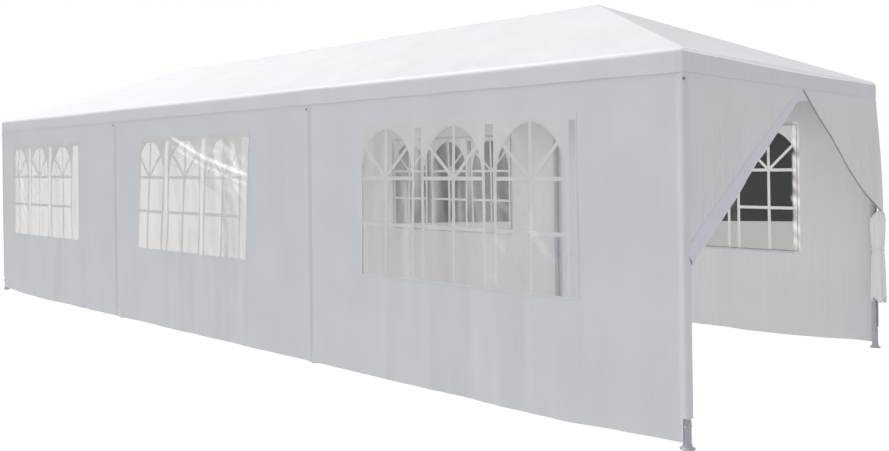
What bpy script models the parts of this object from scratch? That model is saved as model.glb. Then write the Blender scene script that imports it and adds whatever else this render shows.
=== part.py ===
"""A marquee tent of three bays: a steel tube frame under a hipped cloth cover with a valance, six side
walls with a clear window each, and a door wall at each end with its flaps drawn back to the legs.

Metres, +Z up. The tent stands on z = 0, its length runs along X and its centre is over the origin.
The front is the long side at -Y. Pieces that touch in the real tent are one GAP apart here.
"""

import math

import bmesh
import bpy
from mathutils import Matrix, Vector

# Overall size, over the cloth
HALF_LENGTH = 4.5
HALF_WIDTH = 1.5
EAVE_HEIGHT = 2.0
RIDGE_HEIGHT = 2.6
BAY_NAMES = ("left", "middle", "right")

# Sheets
CLOTH = 0.002
FILM = 0.001
GAP = 0.0003

# Frame tubes and the sleeves that they slide into
TUBE_RADIUS = 0.019
SLEEVE_RADIUS = 0.022
BORE_RADIUS = 0.0197
BALL_RADIUS = 0.0215
SLEEVE_REACH = 0.12
BORE_START = 0.06
TUBE_START = BORE_START + GAP
ROUND_SIDES = 16

# Feet
PLATE_RADIUS = 0.039
PLATE_THICKNESS = 0.004
FLARE_RADIUS = 0.03
FLARE_START_HEIGHT = 0.006
FOOT_RADIUS = 0.0212
FOOT_SLEEVE_START_HEIGHT = 0.034
FOOT_SLEEVE_HEIGHT = 0.14

# Valance and walls. The walls of a side meet near its inner legs, at these two places along X.
VALANCE_DEPTH = 0.12
WALL_TOP_HEIGHT = 1.965
WALL_BOTTOM_HEIGHT = 0.035
WALL_SEAMS = {"front": (-1.62, 1.44), "back": (-1.5, 1.5)}

# Windows, with the middle of each one along X, from the left to the right
FILM_LENGTH = 1.84
FILM_HEIGHT = 1.06
FILM_SEAM = 0.02
WINDOW_CENTRE_HEIGHT = 1.2
WINDOW_CENTRES = {"front": (-3.25, -0.25, 2.94), "back": (-3.0, 0.0, 2.985)}

# Door walls: the opening runs from an apex under the valance to both legs
DOOR_APEX_HEIGHT = 1.865
FLAP_END_HEIGHT = 0.97
LEG_STRIP_WIDTH = 0.04
LEG_STRIP_BOTTOM_HEIGHT = 0.15

# Gathered flaps. The inner one hangs behind its leg, the outer one is tied round its leg from outside.
GATHER_TOP_HEIGHT = 1.03
GATHER_BOTTOM_HEIGHT = 0.33
GATHER_TIE_HEIGHT = 0.745
GATHER_RADIUS = 0.03
GATHER_WAIST_RADIUS = 0.025
GATHER_FLATNESS = 0.67
INNER_GATHER_INSET = (0.039, 0.047)
OUTER_GATHER_OFFSET = (0.0605, 0.004)
INNER_FOLD_HEIGHTS = (0.985, 1.025)
OUTER_FOLD_HEIGHTS = (0.978, 1.004)
OUTER_FOLD_WIDTH = 0.016

# Heights and positions worked out from the sizes above
ROOF_SLOPE = (RIDGE_HEIGHT - EAVE_HEIGHT) / HALF_WIDTH
ROOF_COSINE = math.cos(math.atan(ROOF_SLOPE))
WALL_OUTER = CLOTH + GAP
WALL_INNER = WALL_OUTER + CLOTH
LEG_INSET = WALL_INNER + GAP + SLEEVE_RADIUS
LEG_X = HALF_LENGTH - LEG_INSET
LEG_Y = HALF_WIDTH - LEG_INSET
RIDGE_X = LEG_X - LEG_Y
INNER_LEG_X = LEG_X / len(BAY_NAMES)
TUBE_DROP = (CLOTH + GAP + SLEEVE_RADIUS) / ROOF_COSINE
EAVE_AXIS_HEIGHT = EAVE_HEIGHT + ROOF_SLOPE * LEG_INSET - TUBE_DROP
RIDGE_AXIS_HEIGHT = RIDGE_HEIGHT - TUBE_DROP
RAFTER_RISE = RIDGE_AXIS_HEIGHT - EAVE_AXIS_HEIGHT

# Rotations that stand a flat sheet up, along the tent or across it
UPRIGHT = (math.pi / 2, 0.0, 0.0)
UPRIGHT_ACROSS = (math.pi / 2, 0.0, math.pi / 2)

STEEL_GREY = (0.36, 0.37, 0.39)
CLOTH_WHITE = (0.8, 0.81, 0.83)
FILM_CLEAR = (0.85, 0.88, 0.9)


def clear_scene():
    for obj in list(bpy.data.objects):
        bpy.data.objects.remove(obj, do_unlink=True)


def new_collection(name):
    collection = bpy.data.collections.new(name)
    bpy.context.scene.collection.children.link(collection)
    return collection


def principled(name, colour, roughness, metallic=0.0, alpha=1.0):
    material = bpy.data.materials.new(name)
    material.use_nodes = True
    shader = material.node_tree.nodes["Principled BSDF"]
    shader.inputs["Base Color"].default_value = (*colour, 1.0)
    shader.inputs["Roughness"].default_value = roughness
    shader.inputs["Metallic"].default_value = metallic
    shader.inputs["Alpha"].default_value = alpha
    material.diffuse_color = (*colour, alpha)
    return material


def add_part(name, data, material, location=(0.0, 0.0, 0.0), rotation=(0.0, 0.0, 0.0)):
    """Puts one more object that uses this mesh or curve into the tent."""
    obj = bpy.data.objects.new(name, data)
    obj.location = location
    obj.rotation_euler = rotation
    if not data.materials:
        data.materials.append(material)
    tent.objects.link(obj)
    return obj


def baked(obj):
    """The object's evaluated mesh, in world space and joined at its seams. The object is removed."""
    graph = bpy.context.evaluated_depsgraph_get()
    mesh = bpy.data.meshes.new_from_object(obj.evaluated_get(graph))
    mesh.transform(obj.matrix_world)
    name = obj.name
    bpy.data.objects.remove(obj, do_unlink=True)
    mesh.name = name
    return mesh


def shade_smooth(mesh, angle=math.radians(35)):
    for face in mesh.polygons:
        face.use_smooth = True
    mesh.set_sharp_from_angle(angle=angle)


def helper(obj):
    """Moves a new object to the collection of shapes that only help to make others."""
    for collection in obj.users_collection:
        collection.objects.unlink(obj)
    helpers.objects.link(obj)
    obj.hide_render = True
    obj.display_type = "WIRE"
    return obj


def ball(radius):
    bpy.ops.mesh.primitive_uv_sphere_add(segments=ROUND_SIDES, ring_count=ROUND_SIDES // 2, radius=radius)
    return helper(bpy.context.object)


def bar(start, end, radius):
    """A straight round bar between two points."""
    start, end = Vector(start), Vector(end)
    along = end - start
    bpy.ops.mesh.primitive_cylinder_add(vertices=ROUND_SIDES, radius=radius, depth=along.length,
                                        location=(start + end) / 2,
                                        rotation=along.to_track_quat("Z", "Y").to_euler())
    return helper(bpy.context.object)


def box(low, high):
    low, high = Vector(low), Vector(high)
    bpy.ops.mesh.primitive_cube_add(size=1.0, location=(low + high) / 2, scale=high - low)
    return helper(bpy.context.object)


def combined(base, others, operation):
    """The base with the others joined to it or cut from it, one Boolean each, as a new helper object."""
    bpy.context.view_layer.update()
    for number, other in enumerate(others):
        boolean = base.modifiers.new(f"{operation.lower()}_{number}", "BOOLEAN")
        boolean.operation = operation
        boolean.solver = "EXACT"
        boolean.object = other
    bpy.context.view_layer.update()
    mesh = baked(base)
    for other in others:
        bpy.data.objects.remove(other, do_unlink=True)
    return helper_of(mesh)


def helper_of(mesh):
    obj = bpy.data.objects.new(mesh.name, mesh)
    bpy.context.scene.collection.objects.link(obj)
    return helper(obj)


def turned(profile):
    """The solid that a profile of (radius, height) points makes when it turns about the vertical."""
    mesh = bpy.data.meshes.new("profile")
    mesh.from_pydata([(radius, 0.0, height) for radius, height in profile],
                     [(i, i + 1) for i in range(len(profile) - 1)], [])
    obj = helper_of(mesh)
    screw = obj.modifiers.new("turn", "SCREW")
    screw.axis = "Z"
    screw.steps = ROUND_SIDES
    screw.render_steps = ROUND_SIDES
    screw.use_merge_vertices = True
    screw.merge_threshold = 0.00001
    bpy.context.view_layer.update()
    return helper_of(baked(obj))


def flat_sheet(name, outline, thickness, holes=()):
    """A flat sheet in the local XY plane, centred on it, with its holes cut through, as a curve."""
    curve = bpy.data.curves.new(name, "CURVE")
    curve.dimensions = "2D"
    curve.fill_mode = "BOTH"
    curve.extrude = thickness / 2
    for points in (outline, *holes):
        spline = curve.splines.new("POLY")
        spline.points.add(len(points) - 1)
        for point, (x, y) in zip(spline.points, points):
            point.co = (x, y, 0.0, 1.0)
        spline.use_cyclic_u = True
    return curve


def rectangle(low_x, low_y, high_x, high_y):
    return [(low_x, low_y), (high_x, low_y), (high_x, high_y), (low_x, high_y)]


def mesh_of_curve(obj):
    """A helper object with the curve object's mesh, its loose caps welded. The curve object is removed."""
    bpy.context.view_layer.update()
    mesh = baked(obj)
    surface = bmesh.new()
    surface.from_mesh(mesh)
    bmesh.ops.remove_doubles(surface, verts=surface.verts, dist=CLOTH / 100)
    surface.to_mesh(mesh)
    surface.free()
    return helper_of(mesh)


def fitting_mesh(arms):
    """A ball with one sleeve along each arm, bored from its mouth to BORE_START for a tube's end."""
    arms = [Vector(arm).normalized() for arm in arms]
    sleeves = [bar((0, 0, 0), arm * SLEEVE_REACH, SLEEVE_RADIUS) for arm in arms]
    body = combined(ball(BALL_RADIUS), sleeves, "UNION")
    bores = [bar(arm * BORE_START, arm * (SLEEVE_REACH + BORE_RADIUS), BORE_RADIUS) for arm in arms]
    mesh = baked(combined(body, bores, "DIFFERENCE"))
    shade_smooth(mesh)
    return mesh


def add_frame():
    """Legs, fittings, eave poles, rafters and ridge poles."""
    leg_steel = principled("leg_steel", STEEL_GREY, 0.45, 0.3)
    fitting_steel = principled("fitting_steel", STEEL_GREY, 0.5, 0.3)
    pole_steel = principled("pole_steel", STEEL_GREY, 0.45, 0.3)

    leg = baked(turned([
        (0.0, EAVE_AXIS_HEIGHT - TUBE_START),
        (TUBE_RADIUS, EAVE_AXIS_HEIGHT - TUBE_START),
        (TUBE_RADIUS, FOOT_SLEEVE_HEIGHT),
        (FOOT_RADIUS, FOOT_SLEEVE_HEIGHT),
        (FOOT_RADIUS, FOOT_SLEEVE_START_HEIGHT),
        (FLARE_RADIUS, FLARE_START_HEIGHT),
        (PLATE_RADIUS, PLATE_THICKNESS),
        (PLATE_RADIUS, 0.0),
        (0.0, 0.0),
    ]))
    shade_smooth(leg)

    down = (0, 0, -1)
    corner_fitting = fitting_mesh([down, (-1, 0, 0), (0, 1, 0), (-LEG_Y, LEG_Y, RAFTER_RISE)])
    side_fitting = fitting_mesh([down, (-1, 0, 0), (1, 0, 0), (0, LEG_Y, RAFTER_RISE)])
    ridge_end_fitting = fitting_mesh([(-1, 0, 0), (LEG_Y, LEG_Y, -RAFTER_RISE), (LEG_Y, -LEG_Y, -RAFTER_RISE)])
    ridge_middle_fitting = fitting_mesh([(-1, 0, 0), (1, 0, 0), (0, LEG_Y, -RAFTER_RISE), (0, -LEG_Y, -RAFTER_RISE)])

    def pole(name, start, end):
        """A tube between the centres of two fittings, as far as the bottoms of their bores."""
        start, end = Vector(start), Vector(end)
        inset = (end - start).normalized() * TUBE_START
        shape = bar(start + inset, end - inset, TUBE_RADIUS)
        shade_smooth(shape.data)
        add_part(name, shape.data, pole_steel, shape.location, shape.rotation_euler)
        bpy.data.objects.remove(shape, do_unlink=True)

    corners = [
        ("front_right", LEG_X, -LEG_Y, 0.0),
        ("back_right", LEG_X, LEG_Y, math.pi / 2),
        ("back_left", -LEG_X, LEG_Y, math.pi),
        ("front_left", -LEG_X, -LEG_Y, -math.pi / 2),
    ]
    for place, x, y, turn in corners:
        add_part(f"leg_{place}", leg, leg_steel, (x, y, 0.0))
        add_part(f"eave_fitting_{place}", corner_fitting, fitting_steel, (x, y, EAVE_AXIS_HEIGHT),
                 (0.0, 0.0, turn))
        ridge_end = (math.copysign(RIDGE_X, x), 0.0, RIDGE_AXIS_HEIGHT)
        pole(f"hip_rafter_{place}", (x, y, EAVE_AXIS_HEIGHT), ridge_end)

    leg_line = {"left_end": -LEG_X, "middle_left": -INNER_LEG_X, "middle_right": INNER_LEG_X, "right_end": LEG_X}
    for side, y, turn in (("front", -LEG_Y, 0.0), ("back", LEG_Y, math.pi)):
        for inner in ("middle_left", "middle_right"):
            place, x = f"{side}_{inner}", leg_line[inner]
            add_part(f"leg_{place}", leg, leg_steel, (x, y, 0.0))
            add_part(f"eave_fitting_{place}", side_fitting, fitting_steel, (x, y, EAVE_AXIS_HEIGHT),
                     (0.0, 0.0, turn))
            pole(f"side_rafter_{place}", (x, y, EAVE_AXIS_HEIGHT), (x, 0.0, RIDGE_AXIS_HEIGHT))
        xs = list(leg_line.values())
        for bay, start, end in zip(BAY_NAMES, xs, xs[1:]):
            pole(f"eave_pole_{side}_{bay}", (start, y, EAVE_AXIS_HEIGHT), (end, y, EAVE_AXIS_HEIGHT))

    for end, sign, turn in (("left", -1, math.pi), ("right", 1, 0.0)):
        x = sign * LEG_X
        pole(f"eave_pole_{end}_end", (x, -LEG_Y, EAVE_AXIS_HEIGHT), (x, LEG_Y, EAVE_AXIS_HEIGHT))
        add_part(f"ridge_fitting_{end}_end", ridge_end_fitting, fitting_steel,
                 (sign * RIDGE_X, 0.0, RIDGE_AXIS_HEIGHT), (0.0, 0.0, turn))
        add_part(f"ridge_fitting_middle_{end}", ridge_middle_fitting, fitting_steel,
                 (sign * INNER_LEG_X, 0.0, RIDGE_AXIS_HEIGHT))

    ridge_line = [-RIDGE_X, -INNER_LEG_X, INNER_LEG_X, RIDGE_X]
    for bay, start, end in zip(BAY_NAMES, ridge_line, ridge_line[1:]):
        pole(f"ridge_pole_{bay}", (start, 0.0, RIDGE_AXIS_HEIGHT), (end, 0.0, RIDGE_AXIS_HEIGHT))


def add_roof_cover():
    """An open box for the valance, its top drawn up and in to the ridge, with the cloth's thickness inside it."""
    bpy.ops.mesh.primitive_cube_add(size=1.0)
    cover = bpy.context.object
    surface = bmesh.new()
    surface.from_mesh(cover.data)
    bpy.data.objects.remove(cover, do_unlink=True)
    bmesh.ops.scale(surface, vec=(2 * HALF_LENGTH, 2 * HALF_WIDTH, VALANCE_DEPTH), verts=surface.verts)
    bmesh.ops.translate(surface, vec=(0.0, 0.0, EAVE_HEIGHT - VALANCE_DEPTH / 2), verts=surface.verts)
    top = max(surface.faces, key=lambda face: face.normal.z)
    underside = min(surface.faces, key=lambda face: face.normal.z)
    bmesh.ops.delete(surface, geom=[underside], context="FACES_ONLY")
    ridge = bmesh.ops.extrude_discrete_faces(surface, faces=[top])["faces"][0]
    for corner in ridge.verts:
        corner.co = (math.copysign(HALF_LENGTH - HALF_WIDTH, corner.co.x), 0.0, RIDGE_HEIGHT)
    bmesh.ops.remove_doubles(surface, verts=surface.verts, dist=CLOTH)
    mesh = bpy.data.meshes.new("roof_cover")
    surface.to_mesh(mesh)
    surface.free()
    part = add_part("roof_cover", mesh, principled("cover_cloth", CLOTH_WHITE, 0.6))
    thickness = part.modifiers.new("cloth", "SOLIDIFY")
    thickness.thickness = CLOTH
    thickness.offset = -1.0
    thickness.use_even_offset = True


def add_side_walls():
    """One wall a bay on each long side, cut through for its window, and the film that closes it from inside."""
    wall_cloth = principled("wall_cloth", CLOTH_WHITE, 0.6)
    window_film = principled("window_film", FILM_CLEAR, 0.15, alpha=0.35)
    wall_y = HALF_WIDTH - WALL_OUTER - CLOTH / 2
    film_y = HALF_WIDTH - WALL_INNER - GAP - FILM / 2
    wall_end = HALF_LENGTH - WALL_INNER - GAP
    film_z = WINDOW_CENTRE_HEIGHT
    for side, sign in (("front", -1), ("back", 1)):
        left_seam, right_seam = WALL_SEAMS[side]
        starts = (-wall_end, left_seam + GAP / 2, right_seam + GAP / 2)
        ends = (left_seam - GAP / 2, right_seam - GAP / 2, wall_end)
        for bay, low_x, high_x, film_x in zip(BAY_NAMES, starts, ends, WINDOW_CENTRES[side]):
            film = rectangle(film_x - FILM_LENGTH / 2, film_z - FILM_HEIGHT / 2,
                             film_x + FILM_LENGTH / 2, film_z + FILM_HEIGHT / 2)
            (film_low_x, film_low_z), (film_high_x, film_high_z) = film[0], film[2]
            window = rectangle(film_low_x + FILM_SEAM, film_low_z + FILM_SEAM,
                               film_high_x - FILM_SEAM, film_high_z - FILM_SEAM)
            name = f"side_wall_{side}_{bay}"
            wall = rectangle(low_x, WALL_BOTTOM_HEIGHT, high_x, WALL_TOP_HEIGHT)
            add_part(name, flat_sheet(name, wall, CLOTH, [window]), wall_cloth,
                     (0.0, sign * wall_y, 0.0), UPRIGHT)
            name = f"window_film_{side}_{bay}"
            add_part(name, flat_sheet(name, film, FILM), window_film, (0.0, sign * film_y, 0.0), UPRIGHT)


def gather(x, y, flatness):
    """A drawn-back flap, hanging as an upright bundle with a waist where its tie goes round."""
    bundle = turned([
        (0.0, GATHER_TOP_HEIGHT),
        (GATHER_WAIST_RADIUS, GATHER_TOP_HEIGHT - GATHER_RADIUS / 3),
        (GATHER_RADIUS, GATHER_TOP_HEIGHT - 2 * GATHER_RADIUS),
        (GATHER_WAIST_RADIUS, GATHER_TIE_HEIGHT),
        (GATHER_RADIUS, (GATHER_TIE_HEIGHT + GATHER_BOTTOM_HEIGHT) / 2),
        (GATHER_RADIUS, GATHER_BOTTOM_HEIGHT),
        (0.0, GATHER_BOTTOM_HEIGHT),
    ])
    bundle.location = (x, y, 0.0)
    bundle.scale = (1.0, flatness, 1.0)
    return bundle


def add_door_walls():
    """One sheet an end, parted from its apex down, with a gathered flap beside each leg. The ends mirror each other."""
    door_cloth = principled("door_cloth", CLOTH_WHITE, 0.6)
    sheet_x = HALF_LENGTH - WALL_OUTER - CLOTH / 2
    half = HALF_WIDTH - WALL_OUTER
    strip = half - LEG_STRIP_WIDTH
    outline = [
        (-half, LEG_STRIP_BOTTOM_HEIGHT),
        (-strip, LEG_STRIP_BOTTOM_HEIGHT),
        (-strip, FLAP_END_HEIGHT),
        (0.0, DOOR_APEX_HEIGHT),
        (half, FLAP_END_HEIGHT),
        (half, WALL_TOP_HEIGHT),
        (-half, WALL_TOP_HEIGHT),
    ]
    sheet = add_part("door_sheet", flat_sheet("door_sheet", outline, CLOTH), door_cloth,
                     (sheet_x, 0.0, 0.0), UPRIGHT_ACROSS)

    inner_x = LEG_X - INNER_GATHER_INSET[0]
    inner_y = -LEG_Y + INNER_GATHER_INSET[1]
    inner_fold_y = -strip + 2 * LEG_STRIP_WIDTH / 3
    inner_fold = box((inner_x, inner_fold_y - CLOTH, INNER_FOLD_HEIGHTS[0]),
                     (sheet_x, inner_fold_y, INNER_FOLD_HEIGHTS[1]))
    outer_x = LEG_X + OUTER_GATHER_OFFSET[0]
    outer_y = LEG_Y + OUTER_GATHER_OFFSET[1]
    outer_fold = box((sheet_x, outer_y - OUTER_FOLD_WIDTH, OUTER_FOLD_HEIGHTS[0]),
                     (outer_x, outer_y, OUTER_FOLD_HEIGHTS[1]))
    shapes = [gather(inner_x, inner_y, 1.0), inner_fold, gather(outer_x, outer_y, GATHER_FLATNESS), outer_fold]
    wall = baked(combined(mesh_of_curve(sheet), shapes, "UNION"))
    shade_smooth(wall)
    mirrored = wall.copy()
    mirrored.transform(Matrix.Scale(-1.0, 4, Vector((1.0, 0.0, 0.0))))
    mirrored.flip_normals()
    add_part("door_wall_right", wall, door_cloth)
    add_part("door_wall_left", mirrored, door_cloth)


clear_scene()
tent = new_collection("marquee_tent")
helpers = new_collection("helpers")
add_frame()
add_roof_cover()
add_side_walls()
add_door_walls()
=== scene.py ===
"""The looks of a marquee tent: cloth that hangs and creases on a steel frame, clear windows with a white
print of arched lights, and door flaps that are drawn back to the legs.

Metres, +Z up. The tent's length runs along X, its front is the long side at -Y, and the right end is at +X.
"""

import math

import bmesh
import bpy
import numpy as np
from mathutils import Matrix, Vector


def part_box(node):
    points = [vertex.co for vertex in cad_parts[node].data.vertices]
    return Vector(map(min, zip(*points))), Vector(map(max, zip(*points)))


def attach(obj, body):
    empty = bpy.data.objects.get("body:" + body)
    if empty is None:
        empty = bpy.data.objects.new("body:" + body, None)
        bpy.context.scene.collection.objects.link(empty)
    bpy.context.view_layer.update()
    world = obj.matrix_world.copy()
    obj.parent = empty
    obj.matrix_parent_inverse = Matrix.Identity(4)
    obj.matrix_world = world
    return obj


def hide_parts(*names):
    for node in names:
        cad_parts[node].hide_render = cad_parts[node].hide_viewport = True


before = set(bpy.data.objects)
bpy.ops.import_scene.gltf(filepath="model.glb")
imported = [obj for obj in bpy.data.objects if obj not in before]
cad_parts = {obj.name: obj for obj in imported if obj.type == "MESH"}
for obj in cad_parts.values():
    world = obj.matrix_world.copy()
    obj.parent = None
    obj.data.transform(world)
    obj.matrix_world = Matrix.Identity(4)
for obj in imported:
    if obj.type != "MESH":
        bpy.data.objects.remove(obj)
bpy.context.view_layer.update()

# Sizes of the frame and the cloth, as the solids have them
cover_low, cover_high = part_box("roof_cover")
corner_leg_low, corner_leg_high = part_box("leg_front_right")
inner_leg_low, inner_leg_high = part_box("leg_front_middle_right")
end_sheet_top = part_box("door_wall_right")[1].z
wall_low, wall_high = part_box("side_wall_front_middle")
VALANCE_DEPTH = 0.12
HALF_LENGTH = cover_high.x
HALF_WIDTH = cover_high.y
RIDGE_HEIGHT = cover_high.z
VALANCE_HEM = cover_low.z
EAVE_HEIGHT = VALANCE_HEM + VALANCE_DEPTH
ROOF_SLOPE = (RIDGE_HEIGHT - EAVE_HEIGHT) / HALF_WIDTH
LEG_X = (corner_leg_low.x + corner_leg_high.x) / 2
LEG_Y = -(corner_leg_low.y + corner_leg_high.y) / 2
INNER_LEG_X = (inner_leg_low.x + inner_leg_high.x) / 2
LEG_TOP = corner_leg_high.z
WALL_Y = -(wall_low.y + wall_high.y) / 2
END_X = HALF_LENGTH - (HALF_WIDTH - WALL_Y)
BAYS = ("left", "middle", "right")
SIDES = {"front": -1, "back": 1}
ENDS = {"left": -1, "right": 1}

# Thicknesses of the sheets
CLOTH = 0.001
FILM = 0.0005
PRINT = 0.0003

# How finely the sheets are divided
ROOF_CELL = 0.045
WALL_CELL = 0.026
FILM_CELL = 0.016
DOOR_CELL = 0.016

# The roof's rounding over the eave poles, at the legs, between them and half way along an end, the welt
# between slope and valance at the ends, where the valance's cloth begins, and the roof's sag between poles
EAVE_ROUND_AT_LEGS = 0.0255
EAVE_ROUND_BETWEEN = 0.047
EAVE_ROUND_AT_ENDS = 0.034
CORNER_ROUND = 0.012
WELT_HEIGHT = 0.014
WELT_DEPTH = 0.006
WELT_SAG = 0.02
VALANCE_TOP = EAVE_HEIGHT - 0.018
SIDE_SAG = 0.022
END_SAG = 0.018

# How deep the cloth's uneven forms are: the roof's wrinkles at the eaves and further up, and the arch, the
# soft folds and the finer folds of the cloth that hangs from the eaves
EAVE_WRINKLE = 0.005
ROOF_WRINKLE = 0.0035
HANG = 0.004
HANG_FOLD = 0.006
HANG_FINE_FOLD = 0.0022

# The walls' hems, which rise near the corner legs, the flap of each outer wall that goes round its leg, how
# far the hem stands out over a foot plate, and how proud a hem and a lapped edge stand
HEM = 0.03
HEM_HEIGHT = 0.005
HEM_CORNER_REACH = 0.8
WRAP_X = HALF_LENGTH - 0.0019
WRAP_ROUND = 0.014
WRAP_EDGE_Y = 1.457
WRAP_FOOT = 0.12
LEG_FOLD_X = LEG_X - 0.0095
LEG_FOLD = 0.002
FOOT_COVER = 0.017
HEM_PROUD = 0.0008
LAP = 0.0016

# The eyelets, which sit that many degrees round the corner at a wall's ends, and the balls in them
EYELET_HEIGHT = 1.847
EYELET_TURN = 40.0
EYELET_RADIUS = 0.0075
EYELET_WIRE = 0.0017
BALL_RADIUS = 0.0068

# The legs' tube and the sleeve of its foot
TUBE_RADIUS = 0.019
SLEEVE_RADIUS = 0.0212

# The windows' seams, each a ridge some way out of the wall's cloth or behind it, and the print
WINDOW_SEAM = 0.02
WINDOW_BORDER = 0.012
SEAM_WIDTH = 0.007
SEAM_OUT = 0.0017
FILM_EDGE_WIDTH = 0.004
FILM_EDGE_OUT = -0.0024
SEAM_RIDGE = 0.0009
PRINT_GAP = 0.0011
LIGHTS = 3
LIGHT_PITCH = 0.6175
LIGHT_WIDTH = 0.548
PRINT_SHIFTS = {"front": (-0.15, -0.095, -0.04), "back": (0.0, 0.0, 0.05)}
BAR_WIDTH = 0.024
SPOKE_WIDTH = BAR_WIDTH * 0.9
UPPER_BAR_HEIGHT = 1.345
LOWER_BAR_HEIGHT = 1.035
ARCH_RISE = 0.335
FILM_MARGIN = 0.015

# The door walls: the opening's apex and the foot of each drawn-back edge, as (y, z), the zip's tape, and how
# far the back edge of the sheet stands out where it runs into its bundle
APEX = (0.05, 1.865)
FRONT_FOOT = (-1.45, 0.92)
BACK_FOOT = (1.477, 1.005)
GUSSET_TOP = (0.10, 1.802)
GUSSET_REACH = 0.17
TAPE_WIDTH = 0.014
FLARE = 0.042

# The folded band along the front flap: how wide it is at the apex, and how much wider it grows just below the
# apex and then on its way to the foot
FOLD_AT_APEX = 0.02
FOLD_WIDENS = 0.035
FOLD_WIDENS_BELOW = 0.045

# The bundles that the flaps hang in, from the door walls' solids, and their ties
BUNDLE_TOP = 1.03
BUNDLE_FOOT = 0.37
TIE_HEIGHT = 0.745
INNER_BUNDLE = (LEG_X - 0.039, -LEG_Y + 0.047)
OUTER_BUNDLE = (LEG_X + 0.046, LEG_Y - 0.046)
INNER_HALF = (0.033, 0.033)
OUTER_HALF = (0.057, 0.026)
BUNDLE_WAIST = 0.8
LEG_TIE_HEIGHT = 0.115
TIE_WIDTH = 0.012
LEG_TIE_WIDTH = 0.010
TIE_THICKNESS = 0.0012
KNOT_SIZE = 0.0075

# The film's share of haze on each face, seen straight on and from the side, where between the two it rises
# and how steeply, the painted glow of film seen from the side and the painted highlight along its creases,
# and the colours of film and print. The creases' white is partly the whitening of folded film and partly
# painted highlight. The print's two whites are painted shade and painted light on one print, its grey from
# the side is painted shade, and the last colour is that of the painted glow.
FILM_HAZE = 0.035
FILM_EDGE_COVER = 0.45
FILM_SLANT = (0.12, 0.52)
FILM_STEEPNESS = 1.3
FILM_PAINTED_GLOW = 0.25
CREASE_PAINTED_HIGHLIGHT = 0.2
FILM_COLOUR = (0.61, 0.595, 0.575)
CREASE_WHITE_AND_HIGHLIGHT = (0.97, 0.97, 0.97)
PRINT_IN_SHADE = 0.705
PRINT_IN_LIGHT = 0.92
PRINT_PAINTED_SHADE_FROM_SIDE = (0.66, 0.65, 0.635)
PAINTED_GLOW_COLOUR = (1.0, 0.985, 0.96)

# Each cloth's colour, how strong its streaks are as relief, and by what share they darken it. All are one
# white woven cloth, and cover_cloth has its plain colour. The others are copies of it whose colours carry
# painted light and shade: darker and bluer for the valances and walls in shade, a little darker and pinker
# for the door walls, a little lighter for the bundles, and bluer for the folded band lit by the sky.
CLOTHS = {
    "cover_cloth": ((0.79, 0.79, 0.80), 0.25, 0.02),
    "valance_cloth": ((0.72, 0.735, 0.765), 0.25, 0.02),
    "end_valance_cloth": ((0.73, 0.725, 0.77), 0.25, 0.04),
    "back_wall_cloth": ((0.70, 0.70, 0.72), 0.3, 0.028),
    "bundle_cloth": ((0.80, 0.795, 0.81), 0.3, 0.03),
    "wall_cloth": ((0.69, 0.705, 0.725), 0.3, 0.012),
    "door_cloth": ((0.765, 0.745, 0.772), 0.45, 0.05),
    "fold_cloth": ((0.73, 0.735, 0.81), 0.2, 0.02),
}
# Each plain finish's colour and roughness, and its painted glow, as if the day shone through it. The welt's
# light finish with its glow is a painted highlight, and the film's dark edge is painted shadow.
PLAIN_FINISHES = {
    "seam_plastic": ((0.73, 0.74, 0.755), 0.5),
    # The welt's finish: a painted highlight, lighter than the cloth and glowing.
    "welt_painted_highlight": ((0.93, 0.94, 0.97), 0.4, 0.08),
    "zip_tape": ((0.3, 0.285, 0.285), 0.7),
    "tie_ribbon": ((0.8, 0.795, 0.81), 0.6),
    "tie_cord": ((0.5, 0.52, 0.57), 0.6),
    # The film's edge: dark as painted shadow.
    "film_edge": ((0.22, 0.215, 0.21), 0.5),
    "dark_plastic": ((0.2, 0.21, 0.24), 0.5),
}

# How bright the sky, the sun, the fill from the front, the two lights inside and the floor are, and the
# floor's size
SKY_STRENGTH = 0.60
SUNLIGHT = 2.2
FILL_LIGHT = 0.16
INSIDE_LIGHT = 26.0
SUNLIT_END_LIGHT = 20.0
FLOOR_GLOW = 0.79
FLOOR_RADIUS = 20.4

# The camera, where the photo was taken from, and its lens
CAMERA_PLACE = (6.545, -5.3288, 1.4484)
CAMERA_YAW = 131.497
CAMERA_PITCH = 0.162
CAMERA_ROLL = -0.8
PHOTO_WIDTH, PHOTO_HEIGHT = 889, 451
FOCAL_PIXELS = 853.29
CENTRE_PIXEL = (482.42, 158.96)
SENSOR = 36.0


# Fields and small helpers

def smooth_step(t):
    """From 0 to 1 while t goes from 0 to 1, level at both ends: 3t^2 - 2t^3."""
    t = np.clip(t, 0.0, 1.0)
    return t * t * (3 - 2 * t)


def waves(u, v, seed, lengths, turns=(0.0, math.pi)):
    """A smooth uneven field of about -1 to 1: one plane wave for each length in metres, each with its own
    random direction between the two turns and its own start, added up."""
    chance = np.random.default_rng(seed)
    field = np.zeros(np.broadcast(u, v).shape)
    for length in lengths:
        turn = chance.uniform(*turns)
        start = chance.uniform(0.0, 2 * math.pi)
        field = field + np.sin(2 * math.pi / length * (u * math.cos(turn) + v * math.sin(turn)) + start)
    return field / math.sqrt(len(lengths))


def creases(u, v, seed, lengths):
    """Sharp ridges with hollow sides: one minus the size of a wave field that is itself bent by another."""
    bend = 0.12 * max(lengths)
    u_bent = u + bend * waves(u, v, seed + 1, [3 * length for length in lengths])
    v_bent = v + bend * waves(u, v, seed + 2, [3 * length for length in lengths])
    return 1.0 - np.abs(waves(u_bent, v_bent, seed, lengths))


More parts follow.
